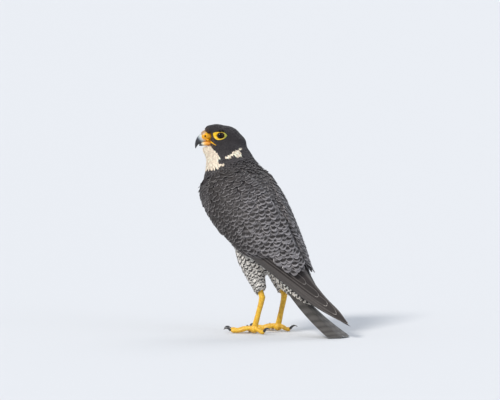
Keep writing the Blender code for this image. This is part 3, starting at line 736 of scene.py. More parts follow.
def growRump():
    # circle, drawn out and resized ring by ring down the rump
    bpy.ops.mesh.primitive_circle_add(vertices=32, radius=mm, fill_type="NGON")
    rump = bpy.context.object
    rump.name = "rump"
    height, middle, wide, deep = rumpStations[0]
    centre = Vector((0, middle + homeY, height)) * mm
    bpy.ops.object.mode_set(mode="EDIT")
    bpy.ops.mesh.select_all(action="SELECT")
    bpy.ops.transform.translate(value=centre)
    bpy.ops.transform.resize(value=(wide, deep, 1), center_override=centre)
    for nextHeight, nextMiddle, nextWide, nextDeep in rumpStations[1:]:
        move = Vector((0, nextMiddle - middle, nextHeight - height)) * mm
        bpy.ops.mesh.extrude_region_move(TRANSFORM_OT_translate={"value": move})
        centre = centre + move
        scale = (nextWide / wide, nextDeep / deep, 1)
        bpy.ops.transform.resize(value=scale, center_override=centre)
        height, middle, wide, deep = nextHeight, nextMiddle, nextWide, nextDeep
    faceOutwards()
    return rump


def readVertices(mesh, what):
    values = np.empty(len(mesh.vertices) * 3)
    mesh.vertices.foreach_get(what, values)
    return values.reshape(-1, 3)


def buildSkin():
    flesh = ["torso", "neck", "head", "thigh_left", "thigh_right"]
    rump = growRump()
    skin = copyOfNodes("skin", flesh)
    joinTo(skin, [rump])
    evenOut(skin, skinLook["voxel"], skinLook["smooth"])
    thin = skin.modifiers.new("underCoat", "DISPLACE")
    thin.mid_level = 0.0
    thin.strength = -skinLook["depth"] * mm
    applyAll(skin)
    keepLargest(skin)
    joinTo(skin, (wingSlab(False), wingSlab(True)))
    evenOut(skin, skinLook["voxel"], skinLook["smooth"])
    applyAll(skin)
    keepLargest(skin)
    skin.data.shade_smooth()
    points, normals = readVertices(skin.data, "co"), readVertices(skin.data, "normal")
    # the forehead and chin keep the fullness that smoothing takes from them
    ahead, _, up = headPlaces(toStations(points)).T
    fuller = smoothOver(ahead, 15, 25) * np.maximum(smoothOver(up, 8, 13), smoothOver(up, -11, -15))
    points = points + normals * (skinLook["front"] * mm * fuller)[:, None]
    skin.data.vertices.foreach_set("co", points.ravel())
    skin.data.update()
    addColours(skin.data, {"ground": plumage(toStations(points))["ground"]})
    setUp(skin, skinMaterial(), "dark_feathers", *flesh)
    return skin


class Surface:
    # the skin as a shape that feathers are laid on, in metres
    def __init__(self, piece):
        mesh = piece.data
        self.points, self.normals = readVertices(mesh, "co"), readVertices(mesh, "normal")
        mesh.calc_loop_triangles()
        self.faces = np.empty(len(mesh.loop_triangles) * 3, int)
        mesh.loop_triangles.foreach_get("vertices", self.faces)
        self.faces = self.faces.reshape(-1, 3)
        self.tree = BVHTree.FromPolygons(self.points.tolist(), self.faces.tolist())

    def scatter(self, count, seed):
        rng = np.random.default_rng(seed)
        a, b, c = (self.points[self.faces[:, k]] for k in range(3))
        area = np.linalg.norm(np.cross(b - a, c - a), axis=1)
        face = rng.choice(len(area), count, p=area / area.sum())
        u, v = rng.random(count), rng.random(count)
        over = u + v > 1
        u, v = np.where(over, 1 - u, u), np.where(over, 1 - v, v)
        weights = np.stack((1 - u - v, u, v), 1)[..., None]
        corners = self.faces[face]
        places = (self.points[corners] * weights).sum(1)
        return places, unit((self.normals[corners] * weights).sum(1))

    def nearest(self, places):
        found = np.empty_like(places)
        number = np.empty(len(places), int)
        look = self.tree.find_nearest
        for k, place in enumerate(places.tolist()):
            spot, _, number[k], _ = look(place)
            found[k] = spot
        corners = self.faces[number]
        a, b, c = (self.points[corners[:, k]] for k in range(3))
        # the corners' normals, weighted by how near each corner is
        weight = 1 / (np.stack([np.linalg.norm(found - q, axis=1) for q in (a, b, c)], 1) + 1e-5)
        weight /= weight.sum(1, keepdims=True)
        return found, unit((self.normals[corners] * weight[..., None]).sum(1))


# Body feathers

class Vane:
    # the grid of one small feather: a closed lens, rounded at its tip
    def __init__(self, rows, cells):
        grid = [(a, c) for a in rows for c in np.linspace(-1, 1, cells + 1)]
        top = np.arange(len(grid)).reshape(len(rows), cells + 1)
        low = top.copy()
        inner = [(i, k) for i in range(1, len(rows) - 1) for k in range(1, cells)]
        for n, (i, k) in enumerate(inner):
            low[i, k] = len(grid) + n
        self.along = np.array([a for a, c in grid] + [rows[i] for i, k in inner])
        self.across = np.array([c for a, c in grid] + [grid[top[i, k]][1] for i, k in inner])
        self.under = np.array([0] * len(grid) + [1] * len(inner))
        quads = []
        for i in range(len(rows) - 1):
            for k in range(cells):
                quads.append((top[i, k], top[i + 1, k], top[i + 1, k + 1], top[i, k + 1]))
                quads.append((low[i, k], low[i, k + 1], low[i + 1, k + 1], low[i + 1, k]))
        self.quads = np.array(quads)

    def outline(self, rounder=0.0):
        # half width and place along, for a feather one long and one wide
        a, c = self.along, self.across
        half = np.interp(a, (0, 0.15, 0.4, 0.66, 0.86, 1), (0.22, 0.55, 0.9, 1.0, 0.90, 0.62))
        half = half + rounder * smoothOver(a, 0.6, 1) * 0.24
        lag = (0.16 + 0.17 * rounder) * np.abs(c) ** 2.2 * smoothOver(a, 0.2, 1)
        return c * half, a - lag


def thinOut(places, spacing, cell):
    # keeps random places that stand at least their own spacing apart
    kept, table = [], {}
    keys = np.floor(places / cell).astype(int)
    rows = places.tolist()
    reach = [(i, j, k) for i in (-1, 0, 1) for j in (-1, 0, 1) for k in (-1, 0, 1)]
    for n, (x, y, z) in enumerate(rows):
        kx, ky, kz = keys[n].tolist()
        need = spacing[n] ** 2
        free = True
        for i, j, k in reach:
            for px, py, pz in table.get((kx + i, ky + j, kz + k), ()):
                if (px - x) ** 2 + (py - y) ** 2 + (pz - z) ** 2 < need:
                    free = False
                    break
            if not free:
                break
        if free:
            table.setdefault((kx, ky, kz), []).append((x, y, z))
            kept.append(n)
    return np.array(kept)


def unwrapOf(skin):
    # a coarse copy of the skin, laid flat, tells where each feather's colour patch goes
    flat = bpy.data.objects.new("flat", skin.data.copy())
    bpy.context.scene.collection.objects.link(flat)
    pick(flat)
    coarse = flat.modifiers.new("coarse", "REMESH")
    coarse.mode = "VOXEL"
    coarse.voxel_size = 5 * mm
    applyAll(flat)
    bpy.ops.object.mode_set(mode="EDIT")
    bpy.ops.mesh.select_all(action="SELECT")
    bpy.ops.uv.smart_project(angle_limit=math.radians(66), island_margin=0.004)
    bpy.ops.object.mode_set(mode="OBJECT")
    mesh = flat.data
    places = np.empty(len(mesh.loops) * 2)
    mesh.uv_layers.active.data.foreach_get("uv", places)
    places = places.reshape(-1, 2)
    corners = [list(p.vertices) for p in mesh.polygons]
    loops = [list(p.loop_indices) for p in mesh.polygons]
    points = np.array([v.co for v in mesh.vertices])
    tree = BVHTree.FromPolygons(points.tolist(), corners)
    bpy.data.objects.remove(flat)

    def patches(roots):
        found = np.empty((len(roots), 2))
        for k, root in enumerate(roots.tolist()):
            spot, _, face, _ = tree.find_nearest(root)
            near = np.linalg.norm(points[corners[face]] - np.array(spot), axis=1) + 1e-6
            weight = (1 / near ** 2) / (1 / near ** 2).sum()
            found[k] = weight @ places[loops[face]]
        return found

    return patches


patchSize = 0.003       # side of a feather's colour patch, as a share of the map


def vanePiece(name, vane, points, roots, colours, patches, turned=False):
    # many small feathers as one piece, each with its own colours and colour patch
    count, size = len(roots), len(vane.along)
    quads = (vane.quads[None] + (np.arange(count) * size)[:, None, None]).reshape(-1, 4)
    if turned:
        quads = quads[:, ::-1]
    pattern = np.stack((vane.across * 0.5 + 0.5, vane.along), 1)
    corner = patches(roots)[:, None] + (pattern - 0.5)[None] * patchSize
    uvs = {"vane": np.tile(pattern, (count, 1)), "OFBake": corner.reshape(-1, 2)}
    colours = {key: np.repeat(value, size, 0) for key, value in colours.items()}
    print(name, count, "feathers", len(quads) * 2, "triangles")
    return meshOf(name, points.reshape(-1, 3), quads, uvs, colours)


# How single feathers differ and lie: swing in radians, slipMore and rootSink in millimetres, the rest
# as shares of the feather's own length, width, height, tone or way
featherLook = {"swing": 0.10, "longer": (0.9, 1.1), "wider": (0.92, 1.08), "higher": (0.8, 1.25),
               "ragged": 0.022, "tone": 0.12, "outward": 0.6, "slip": 0.36, "slipMore": 1.1,
               "stiff": 0.34, "camber": 0.10, "rootSink": 0.25}


def layFeathers(name, vane, surface, patches, roots, normals, way, look, material, slot, seed):
    # feathers of one kind as one mesh: each point is laid on the skin and lifted off it
    rng = np.random.default_rng(seed)
    count = len(roots)
    way = unit(way - normals * (way * normals).sum(1, keepdims=True))
    side = unit(np.cross(normals, way))
    swing = rng.normal(0, featherLook["swing"], count)[:, None]
    way, side = unit(way + side * swing), unit(side - way * swing)
    length = look["length"] * rng.uniform(*featherLook["longer"], count) * mm
    width = look["width"] * rng.uniform(*featherLook["wider"], count) * mm
    x, y = vane.outline()
    ragged = rng.normal(0, featherLook["ragged"], (count, len(x))) * smoothOver(vane.along, 0.8, 1)
    spots = roots[:, None] + way[:, None] * ((y + ragged) * length[:, None])[..., None]
    spots = spots + side[:, None] * (x * 0.5 * width[:, None])[..., None]
    flatSpots = spots.reshape(-1, 3)
    onSkin, out = surface.nearest(flatSpots)
    out = unit(out.reshape(count, -1, 3) + normals[:, None] * featherLook["outward"])
    onSkin = onSkin.reshape(count, -1, 3)
    # where the skin falls away, a feather stays stiff and doesn't wrap round
    slip = np.linalg.norm(spots - onSkin, axis=2)
    more = featherLook["slipMore"] + wristLook["slip"] * onWrist(toStations(roots))
    stays = slip.max(1) < featherLook["slip"] * length + more * mm
    stiff = np.clip((slip / (length[:, None] * featherLook["stiff"])) - 0.5, 0, 1)[..., None]
    base = onSkin * (1 - stiff) + (spots + (onSkin - spots) * 0.45) * stiff
    lift = look["lift"] * rng.uniform(*featherLook["higher"], count) * mm
    tone = rng.normal(1, featherLook["tone"], count)[:, None]
    height = lift[:, None] * (0.02 + 0.98 * vane.along ** 1.25)
    height = height - featherLook["rootSink"] * mm * (vane.along < 0.01)
    camber = (1 - vane.across ** 2) * featherLook["camber"] * width[:, None] * (0.3 + 0.7 * vane.along)
    thick = (0.10 + 0.012 * look["width"])[:, None] * mm * vane.under
    points = (base + out * (height + camber - thick)[..., None])[stays]
    colours = {"ground": np.clip(look["ground"] * tone, 0, 0.9)[stays],
               "fringe": np.clip(look["fringe"] * tone, 0, 0.9)[stays],
               "marks": look["marks"][stays]}
    setUp(vanePiece(name, vane, points, roots[stays], colours, patches), material, slot)


def wingTrees():
    # samples of both wings' sheets, to tell what lies on a wing's face
    t, s = np.meshgrid(np.linspace(0, 0.72, 150), np.linspace(0, 1, 60), indexing="ij")
    left = wingSheet(t, s).reshape(-1, 3)
    out = wingOut(t, s).reshape(-1, 3)
    step = unit((wingSheet(np.minimum(t + 0.01, 1), s) - wingSheet(t, s)).reshape(-1, 3))
    samples = []
    for mirror in (False, True):
        points = toRight(left) if mirror else left
        flip = np.array((-1.0, 1, 1)) if mirror else np.ones(3)
        tree = treeOf(points.tolist())
        samples.append((tree, out * flip, step * flip, np.stack((t.ravel(), s.ravel()), 1)))
    return samples


def nearWing(places, normals, samples):
    # distance to the nearer wing sheet, its along direction, and whether the place faces out of it
    distance = np.full(len(places), 99.0)
    step = np.zeros((len(places), 3))
    facing = np.zeros(len(places))
    spot = np.zeros((len(places), 2))
    for tree, out, along, grid in samples:
        for k, place in enumerate(places.tolist()):
            if (place[0] < -12 and along[0][0] > 0 and out[0][0] > 0) or place[2] > 275:
                continue
            _, n, d = tree.find(place)
            if d < distance[k]:
                distance[k] = d
                step[k] = along[n]
                facing[k] = out[n] @ normals[k]
                spot[k] = grid[n]
    return distance, step, facing, spot


def near(places, tree, reach):
    return np.array([tree.find(place)[2] < reach for place in places.tolist()])


coatKinds = (
    # name, fine or coarse grid, spacing range
    ("Face", "small", 0.0, 1.3),
    ("Head", "small", 1.3, 2.6),
    ("Neck", "middle", 2.6, 4.6),
    ("Body", "large", 4.6, 30.0),
)
vaneGrids = {"small": Vane((0, 0.4, 0.7, 0.88, 1), 4), "middle": Vane((0, 0.3, 0.6, 0.85, 1), 4),
             "large": Vane((0, 0.25, 0.5, 0.7, 0.87, 1), 6)}


def bareSkin(places):
    # places on the face that carry no feathers: round the eyes, under cere, bill and gape
    ahead, out, up = headPlaces(places).T
    out = np.abs(out)
    eyeX, eyeY = ahead - eyeAt["forward"], up - eyeAt["up"]
    reach = ringReach(np.arctan2(eyeY, eyeX)) + np.where(eyeX > 4, 0.6, -0.3)
    bare = (np.hypot(eyeX, eyeY) < reach) & (out > 4)
    bare |= (ahead > 21.4) & (up < 13.5 - (ahead - 24) * 0.4) & (up > -10.5) & (out < 12)
    onGape = np.abs(up - np.interp(ahead, *np.array(gapeLine)[::-1, :2].T))
    bare |= (onGape < np.interp(ahead, (8.8, 18), (1.0, 2.2))) & (ahead > 9.0) & (ahead < 24) & (out > 5)
    return bare


# On the rounded front of the folded wing the feathers are smaller, stand closer and may bend more
wristLook = {"closer": 0.35, "shorter": 0.30, "narrower": 0.20, "slip": 3.0}


def onWrist(places):
    x, y, z = places.T
    front = smoothOver(np.abs(x), 34, 42) * smoothOver(y, -70, -82)
    return front * smoothOver(z, 188, 198) * smoothOver(z, 268, 258)


# What counts as the wing's own face: distance from its sheet and from its feathers, how squarely a
# place faces out of it, the part along the wing from which all of it counts, and the rim left out
wingFace = {"sheet": 4.2, "feathers": 1.2, "facing": 0.45, "allFrom": 0.16, "margin": 0.015}


def growCoat(surface, patches, coverts, darkMaterial, paleMaterial):
    samples = wingTrees()
    wingTree = treeOf([vertex.co for piece in coverts for vertex in piece.data.vertices])
    places, normals = surface.scatter(count=420000, seed=11)
    station = toStations(places)
    kinds = plumage(station)
    kinds["spacing"] = kinds["spacing"] * (1 - wristLook["closer"] * onWrist(station))
    for number, (name, grid, least, most) in enumerate(coatKinds):
        chosen = np.flatnonzero((kinds["spacing"] >= least) & (kinds["spacing"] < most))
        spacing = kinds["spacing"][chosen] * mm
        kept = chosen[thinOut(places[chosen], spacing, spacing.max())]
        station = toStations(places[kept])
        distance, step, facing, spot = nearWing(station, normals[kept], samples)
        # the wing's face is left to its own feathers, its front edge as far as they reach
        along, over = spot.T
        covered = near(places[kept], wingTree, wingFace["feathers"] * mm) & (along > 0)
        covered |= along > wingFace["allFrom"]
        onWing = (distance < wingFace["sheet"]) & (facing > wingFace["facing"]) & covered
        onWing &= (over > wingFace["margin"]) & (over < 1 - wingFace["margin"])
        legEnd = (station[:, 2] < 66) & (station[:, 1] < 26) & (normals[kept][:, 2] < -0.6)
        keep = ~onWing & ~bareSkin(station) & ~legEnd
        kept, station, distance, step = kept[keep], station[keep], distance[keep], step[keep]
        look = plumage(station)
        look["length"] = look["length"] * (1 - wristLook["shorter"] * onWrist(station))
        look["width"] = look["width"] * (1 - wristLook["narrower"] * onWrist(station))
        way = lieOfCoat(station)
        # beside the wing the feathers point along it, but not where its front edge faces ahead
        edgeOn = np.abs((step * normals[kept]).sum(1))
        byWing = (1 - smoothOver(distance, 3, 9)) * (1 - smoothOver(edgeOn, 0.45, 0.8))
        way = unit(blend(way, step, byWing * (np.linalg.norm(step, axis=1) > 0)))
        # a feather's colour is that of the place where it shows
        shown = plumage(station + way * (look["length"] * 0.62)[:, None])
        look.update({key: shown[key] for key in ("ground", "fringe", "marks", "white")})
        dark = "dark_feathers" if number < 2 else "back_feathers"
        sorts = (("dark", dark, ~look["white"], darkMaterial),
                 ("pale", "pale_feathers", look["white"], paleMaterial))
        for prefix, slot, part, material in sorts:
            some = {key: value[part] for key, value in look.items()}
            layFeathers(prefix + name, vaneGrids[grid], surface, patches, places[kept][part],
                        normals[kept][part], way[part], some, material, slot, 20 + number)


# Wing coverts, in staggered rows on the sheet

covertLook = {"firstRow": 6.8, "lastRow": 7.6, "across": (7.6, 8.6), "length": (15.5, 21.0), "rear": 3.3,
              "hang": 12.0, "level": 0.50, "slant": 0.40, "longer": (0.90, 1.06), "wider": (0.94, 1.08),
              "ragged": 0.012, "turn": 0.14, "rise": 1.7, "camber": 0.08, "thick": 0.30, "tone": 0.15,
              "rim": 0.18}


def wingTone(t, s):
    # dark and brown at the wrist, paler and greyer towards the back
    return smoothOver(s * 0.8 + 1.3 * t, 0.30, 1.10) * smoothOver(t, 0.02, 0.30)


def covertRows():
    # where the feathers of one wing root: run, place across, length and width
    rng = np.random.default_rng(7)
    roots = []
    run, row = -3.0 - covertLook["level"] * 60, 0
    end = float(runAt(0.60))
    while run < end:
        part = np.clip(run / float(runAt(0.52)), 0, 1)
        width = float(widthAt(float(tAt(max(run, 0)))))
        gap = covertLook["across"][0] * (1 - part) + covertLook["across"][1] * part
        length = covertLook["length"][0] * (1 - part) + covertLook["length"][1] * part
        count = max(int(round(width / gap)), 3)
        for k in range(count + 1):
            s = (k + 0.5 * (row % 2)) / count + rng.normal(0, 0.019)
            # the rows cross the wing aslant, level on the standing bird
            place = run + covertLook["level"] * s * width + rng.normal(0, 1.3)
            if place > -4 and 0 <= s < 1.02:
                if place + length < float(runAt(rearT(s))) - covertLook["hang"] * (s < 0.45):
                    roots.append((place, s, length, gap * 1.5))
        run += covertLook["firstRow"] * (1 - part) + covertLook["lastRow"] * part
        row += 1
    return np.array(roots)


def layCoverts(side, material, patches, seed):
    rng = np.random.default_rng(seed)
    vane = vaneGrids["large"]
    roots = covertRows()
    count = len(roots)
    lengths = roots[:, 2] * rng.uniform(*covertLook["longer"], count)
    widths = roots[:, 3] * rng.uniform(*covertLook["wider"], count)
    x, y = vane.outline(1.0)
    y = y + rng.normal(0, covertLook["ragged"], (count, len(x))) * smoothOver(vane.along, 0.8, 1)
    runs = roots[:, :1] + y * lengths[:, None]
    wide = widthAt(tAt(np.maximum(runs, 0)))
    turn = covertLook["slant"] * smoothOver(roots[:, 1:2], 0.02, 0.45)
    turn = turn + rng.normal(0, covertLook["turn"], (count, 1))
    s = roots[:, 1:2] + (x * 0.5 * widths[:, None] - y * lengths[:, None] * turn) / wide
    runs = runs + turn * x * 0.5 * widths[:, None]
    t = tAt(np.maximum(runs, 0))
    # a feather that reaches the edge of the wing is turned under it
    beyond = np.maximum(np.maximum(-s, s - 1), 0) * wide
    s = np.clip(s, 0, 1)
    full = roundOff(np.minimum(s, 1 - s) * wide + 0.8) * roundOff(runs + 3)
    rising = smoothOver(t, 0.34, 0.54)
    base = skinLook["wingOut"] * full + (covertLook["rear"] - skinLook["wingOut"]) * rising
    height = base + (0.15 + covertLook["rise"] * vane.along ** 1.2) * rng.uniform(0.9, 1.1, (count, 1))
    camber = (1 - vane.across ** 2) * covertLook["camber"] * widths[:, None] * (0.3 + 0.7 * vane.along)
    height = height + camber - covertLook["thick"] * vane.under - 0.8 * beyond
    before = np.minimum(runs, 0)
    forwardWay = unit(wingSheet(0.03, s) - wingSheet(0.0, s))
    points = wingSheet(t, s) + wingOut(t, s) * height[..., None]
    points = points + forwardWay * before[..., None]
    if side == "right":
        points = toRight(points)
    rootS, rootT = np.clip(roots[:, 1], 0, 1), tAt(np.maximum(roots[:, 0], 0))
    pale = wingTone(rootT, rootS)
    ground = blend(back["brown"], back["pale"], pale)
    fringe = blend(back["edgeDark"], back["edgePale"], pale)
    tone = rng.normal(1, covertLook["tone"], count)[:, None]
    rim = rng.normal(1, covertLook["rim"], count)[:, None]
    marks = np.stack((0.15 + 0.03 * pale, 0.75 + 0.25 * smoothOver(rootT, 0.1, 0.4), 0 * pale), 1)
    colours = {"ground": np.clip(ground * tone, 0, 0.9), "fringe": np.clip(fringe * rim, 0, 0.9),
               "marks": marks}
    places = fromStations(points)
    piece = vanePiece("coverts_" + side, vane, places, places[:, 2], colours, patches, side == "right")
    setUp(piece, material, "back_feathers")
    return piece


# Flight feathers: long vanes that lie over one another like a fan, the outermost deepest

remexLook = {"fromTip": (0.5, 28, 50, 71, 103, 124, 143, 158, 172), "spacing": (5.6, 3.0), "layer": 1.05,
             "thick": 0.5, "point": 14, "inner": 9.0, "rows": 30, "cells": 8}


def ribbonMesh(name, feathers, looks, material, slot, flip=False, nodes=()):
    # feathers: list of (top points, low points) grids in stations, with one look for each
    rows, cells = feathers[0][0].shape[0] - 1, feathers[0][0].shape[1] - 1
    ribbon, count = closedStrip(rows, cells, True)
    across, along = np.meshgrid(np.linspace(0, 1, cells + 1), np.linspace(0, 1, rows + 1))
    pattern = np.stack((across.ravel(), along.ravel()), 1)
    pattern = np.concatenate((pattern, pattern))
    # each feather has its own strip of the map, its top in one half and its underside in the other
    strip = 1.0 / len(feathers)
    inStrip = 0.04 + np.repeat((0, 0.5), count) + 0.44 * pattern[:, 0]
    patchMap = [np.stack((n * strip + strip * inStrip, 0.01 + 0.98 * pattern[:, 1]), 1)
                for n in range(len(feathers))]
    points = [grid.reshape(-1, 3) for feather in feathers for grid in feather]
    quads = np.concatenate([ribbon + n * 2 * count for n in range(len(feathers))])
    if flip:
        quads = quads[:, ::-1]
    colours = {key: np.repeat([look[key] for look in looks], 2 * count, 0) for key in looks[0]}
    uvs = {"vane": np.tile(pattern, (len(feathers), 1)), "OFBake": np.concatenate(patchMap)}
    piece = meshOf(name, fromStations(np.concatenate(points)), quads, uvs, colours)
    setUp(piece, material, slot, *nodes)
    print(name, len(feathers), "feathers", len(quads) * 2, "triangles")


def wingRibbon(start, tip, outerAt, shaftAt, innerAt, heightAt, point, blunt):
    # one long feather on the sheet, from its root to its tip, as top and low grids
    rows, cells = remexLook["rows"], remexLook["cells"]
    part = np.linspace(0, 1, rows + 1)
    part = 1 - (1 - part) ** 1.35
    run = start + (tip - start) * part
    t = tAt(run)
    wide = widthAt(t)
    outer, inner = outerAt(t), np.minimum(innerAt(t), wide)
    shaft = np.minimum(shaftAt(t), inner)
    narrow = np.maximum(roundOff(tip - run, point), blunt * (run < tip - 0.01))
    c = np.linspace(0, 1, cells + 1)[None]
    edgeA = (shaft + (outer - shaft) * narrow)[:, None]
    edgeB = (shaft + (inner - shaft) * narrow)[:, None]
    across = edgeA + (edgeB - edgeA) * c
    s = across / wide[:, None]
    tt = np.broadcast_to(t[:, None], s.shape)
    height = heightAt(tt, across) + 0.30 * (1 - (2 * c - 0.72) ** 2)
    out = wingOut(tt, np.clip(s, 0, 1))
    top = wingSheet(tt, s) + out * height[..., None]
    thick = remexLook["thick"] * np.sin(math.pi * np.clip(c, 0.08, 0.92)) * (1 - 0.5 * part[:, None])
    low = top - out * thick[..., None]
    return top, low


def spacingAt(t):
    x = np.clip((t - 0.45) / 0.55, 0, 1)
    return remexLook["spacing"][0] * (1 - x) + remexLook["spacing"][1] * x


def sunken(x):
    # depth of a vane below its own outer edge, x spacings away from it
    return -remexLook["layer"] * 3.1 * (1 - np.exp(-np.maximum(x, 0) / 3.1))


def remexOf(index, jitter):
    # the tips stand in a row down the middle of the folded wing
    tip = float(runAt(1.0)) - remexLook["fromTip"][index] - jitter * (index > 0)
    s = min(index * float(spacingAt(0.45)) / float(widthAt(0.45)), 0.95)
    start = min(float(runAt(coreEnd(s))) - 12, tip - 30)
    shaft = lambda t: (index + 0.8) * spacingAt(t)
    # the two outermost reach over the whole width, the others lie on them
    inner = lambda t: shaft(t) + (60 if index < 2 else remexLook["inner"])
    return wingRibbon(start, tip, lambda t: index * spacingAt(t), shaft, inner,
                      lambda t, across: sunken(across / spacingAt(t) - index),
                      remexLook["point"] if index > 1 else 30, 0.12)


upperLook = {"coverts": 8, "tertials": 5, "lift": 3.1, "reach": (33.0, 62.0), "wide": 0.155,
             "share": 0.90, "marks": (0.10, 0.0, 0.6)}


def upperOf(index, jitter):
    # greater coverts along the lower part of the boundary, tertials along its upper part
    last = upperLook["coverts"] + upperLook["tertials"] - 1
    place = -0.02 + upperLook["share"] * index / last
    middle = place + upperLook["wide"] * 0.5
    tertial = smoothOver(index, upperLook["coverts"] - 2.5, upperLook["coverts"] + 1)
    reach = upperLook["reach"][0] * (1 - tertial) + upperLook["reach"][1] * tertial
    tip = float(runAt(rearT(middle))) - jitter
    gap = lambda t: upperLook["share"] * widthAt(t) / last
    height = lambda t, across: upperLook["lift"] + sunken((across - place * widthAt(t)) / gap(t))
    return wingRibbon(tip - reach, tip, lambda t: place * widthAt(t), lambda t: middle * widthAt(t),
                      lambda t: (place + upperLook["wide"]) * widthAt(t), height, 11, 0.3)


def layFlight(side, materials, seed):
    rng = random.Random(seed)
    feathers = [remexOf(k, rng.uniform(0, 3)) for k in range(len(remexLook["fromTip"]))]
    looks = []
    for k in range(len(feathers)):
        tone = 1 + 0.12 * math.sin(1.7 * k) + 0.02 * k
        looks.append({"ground": np.array(flight["ground"]) * tone, "fringe": flight["edge"],
                      "marks": flight["marks"]})
    upper = [upperOf(k, rng.uniform(0, 3)) for k in range(upperLook["coverts"] + upperLook["tertials"])]
    upperLooks = []
    for k in range(len(upper)):
        pale = 0.25 + 0.75 * k / len(upper)
        ground = np.array(back["brown"]) * (1 - pale) + np.array(back["pale"]) * pale
        upperLooks.append({"ground": ground * rng.uniform(0.9, 1.1), "fringe": back["edgePale"],
                           "marks": upperLook["marks"]})
    flip = side == "right"
    if flip:
        feathers = [(toRight(top), toRight(low)) for top, low in feathers]
        upper = [(toRight(top), toRight(low)) for top, low in upper]
    ribbonMesh("remiges_" + side, feathers, looks, materials["flight"], "flight_feathers", flip,
               ["wing_" + side])
    ribbonMesh("greaterCoverts_" + side, upper, upperLooks, materials["tertial"], "back_feathers", flip)


# Tail: six feathers on each side, the middle ones on top

tailLook = {"root": (36.0, 89.0), "length": 150.0, "slope": (46, 26), "half": (13.0, 29.0), "feathers": 6,
            "step": 3.4, "width": 17.5, "layer": 1.05, "thick": 0.5, "rows": 26, "cells": 8,
            "ground": (0.105, 0.098, 0.093), "tip": (0.42, 0.40, 0.37), "marks": (0.22, 0.0, 0.5)}


def tailPoint(length, out, above):
    slopes = np.radians(tailLook["slope"])
    run = np.clip(np.asarray(length, float) / tailLook["length"], 0, 1)
    steps = 24
    y, z = tailLook["root"][0] + 0 * run, tailLook["root"][1] + 0 * run
    for k in range(steps):
        slope = slopes[0] + (slopes[1] - slopes[0]) * run * (k + 0.5) / steps
        y = y + np.cos(slope) * length / steps
        z = z - np.sin(slope) * length / steps
    slope = slopes[0] + (slopes[1] - slopes[0]) * run
    normal = np.stack((0 * slope, np.sin(slope), np.cos(slope)), -1)
    spot = np.stack((out, y, z), -1) + normal * above[..., None]
    spot[..., 2] = np.maximum(spot[..., 2], 0.25)
    return spot


def rectrixOf(index, jitter):
    rows, cells = tailLook["rows"], tailLook["cells"]
    tip = tailLook["length"] - jitter - 1.6 * (tailLook["feathers"] - 1 - index)
    part = 1 - (1 - np.linspace(0, 1, rows + 1)) ** 1.4
    place = tip * part
    share = place / tailLook["length"]
    half = tailLook["half"][0] + (tailLook["half"][1] - tailLook["half"][0]) * share
    outer = half - index * tailLook["step"] * half / tailLook["half"][1]
    width = np.minimum(tailLook["width"] * (0.45 + 0.55 * share), outer + (1.5 if index == 5 else 0))
    inner = outer - width
    shaft = outer - 0.4 * width
    narrow = np.maximum(roundOff(tip - place, 11), 0.3 * (place < tip - 0.01))
    c = np.linspace(0, 1, cells + 1)[None]
    edgeA, edgeB = shaft + (outer - shaft) * narrow, shaft + (inner - shaft) * narrow
    out = edgeA[:, None] + (edgeB - edgeA)[:, None] * c
    height = (index - tailLook["feathers"] + 1) * tailLook["layer"] - 0.0011 * out * out
    height = height + 0.35 * (1 - (2 * c - 0.8) ** 2)
    length = np.broadcast_to(place[:, None], out.shape)
    thick = tailLook["thick"] * np.sin(math.pi * np.clip(c, 0.08, 0.92))
    top = tailPoint(length, out, height)
    low = tailPoint(length, out, height - thick)
    low[..., 2] = np.maximum(low[..., 2], 0.02)
    return top, low


def layTail(materials):
    rng = random.Random(5)
    feathers = [rectrixOf(k, rng.uniform(0, 1.5)) for k in range(tailLook["feathers"])]
    for side, mirror in (("left", 1.0), ("right", -1.0)):
        turn = np.array((mirror, 1, 1))
        both = [(top * turn, low * turn) for top, low in feathers]
        looks = []
        for _ in both:
            looks.append({"ground": np.array(tailLook["ground"]) * rng.uniform(0.92, 1.08),
                          "fringe": tailLook["tip"], "marks": tailLook["marks"]})
        nodes = ["tail"] if mirror > 0 else []
        ribbonMesh("tailFeathers_" + side, both, looks, materials["tail"], "flight_feathers", mirror > 0,
                   nodes)


# Head: bill, cere, gape, eyes and the bare ring round them, made in the head's own frame

def headPoint(ahead, out, up):
    return headCentre + (forward * ahead + aside * out + upward * up) * mm


def besideHead(surface, ahead, up, side):
    # how far out the skin lies at a place in the side view of the head
    start = headPoint(ahead, 60 * side, up)
    hit = surface.tree.ray_cast(start, -aside * side)[0]
    if hit is None:
        return 0.0
    return (hit - headCentre).dot(aside) * side / mm


def pickVertices(piece, wanted):
    # leaves the piece in edit mode with only these vertices selected
    bpy.ops.object.mode_set(mode="EDIT")
    bpy.ops.mesh.select_all(action="DESELECT")
    bpy.ops.object.mode_set(mode="OBJECT")
    for vertex in piece.data.vertices:
        vertex.select = wanted(vertex)
    bpy.ops.object.mode_set(mode="EDIT")


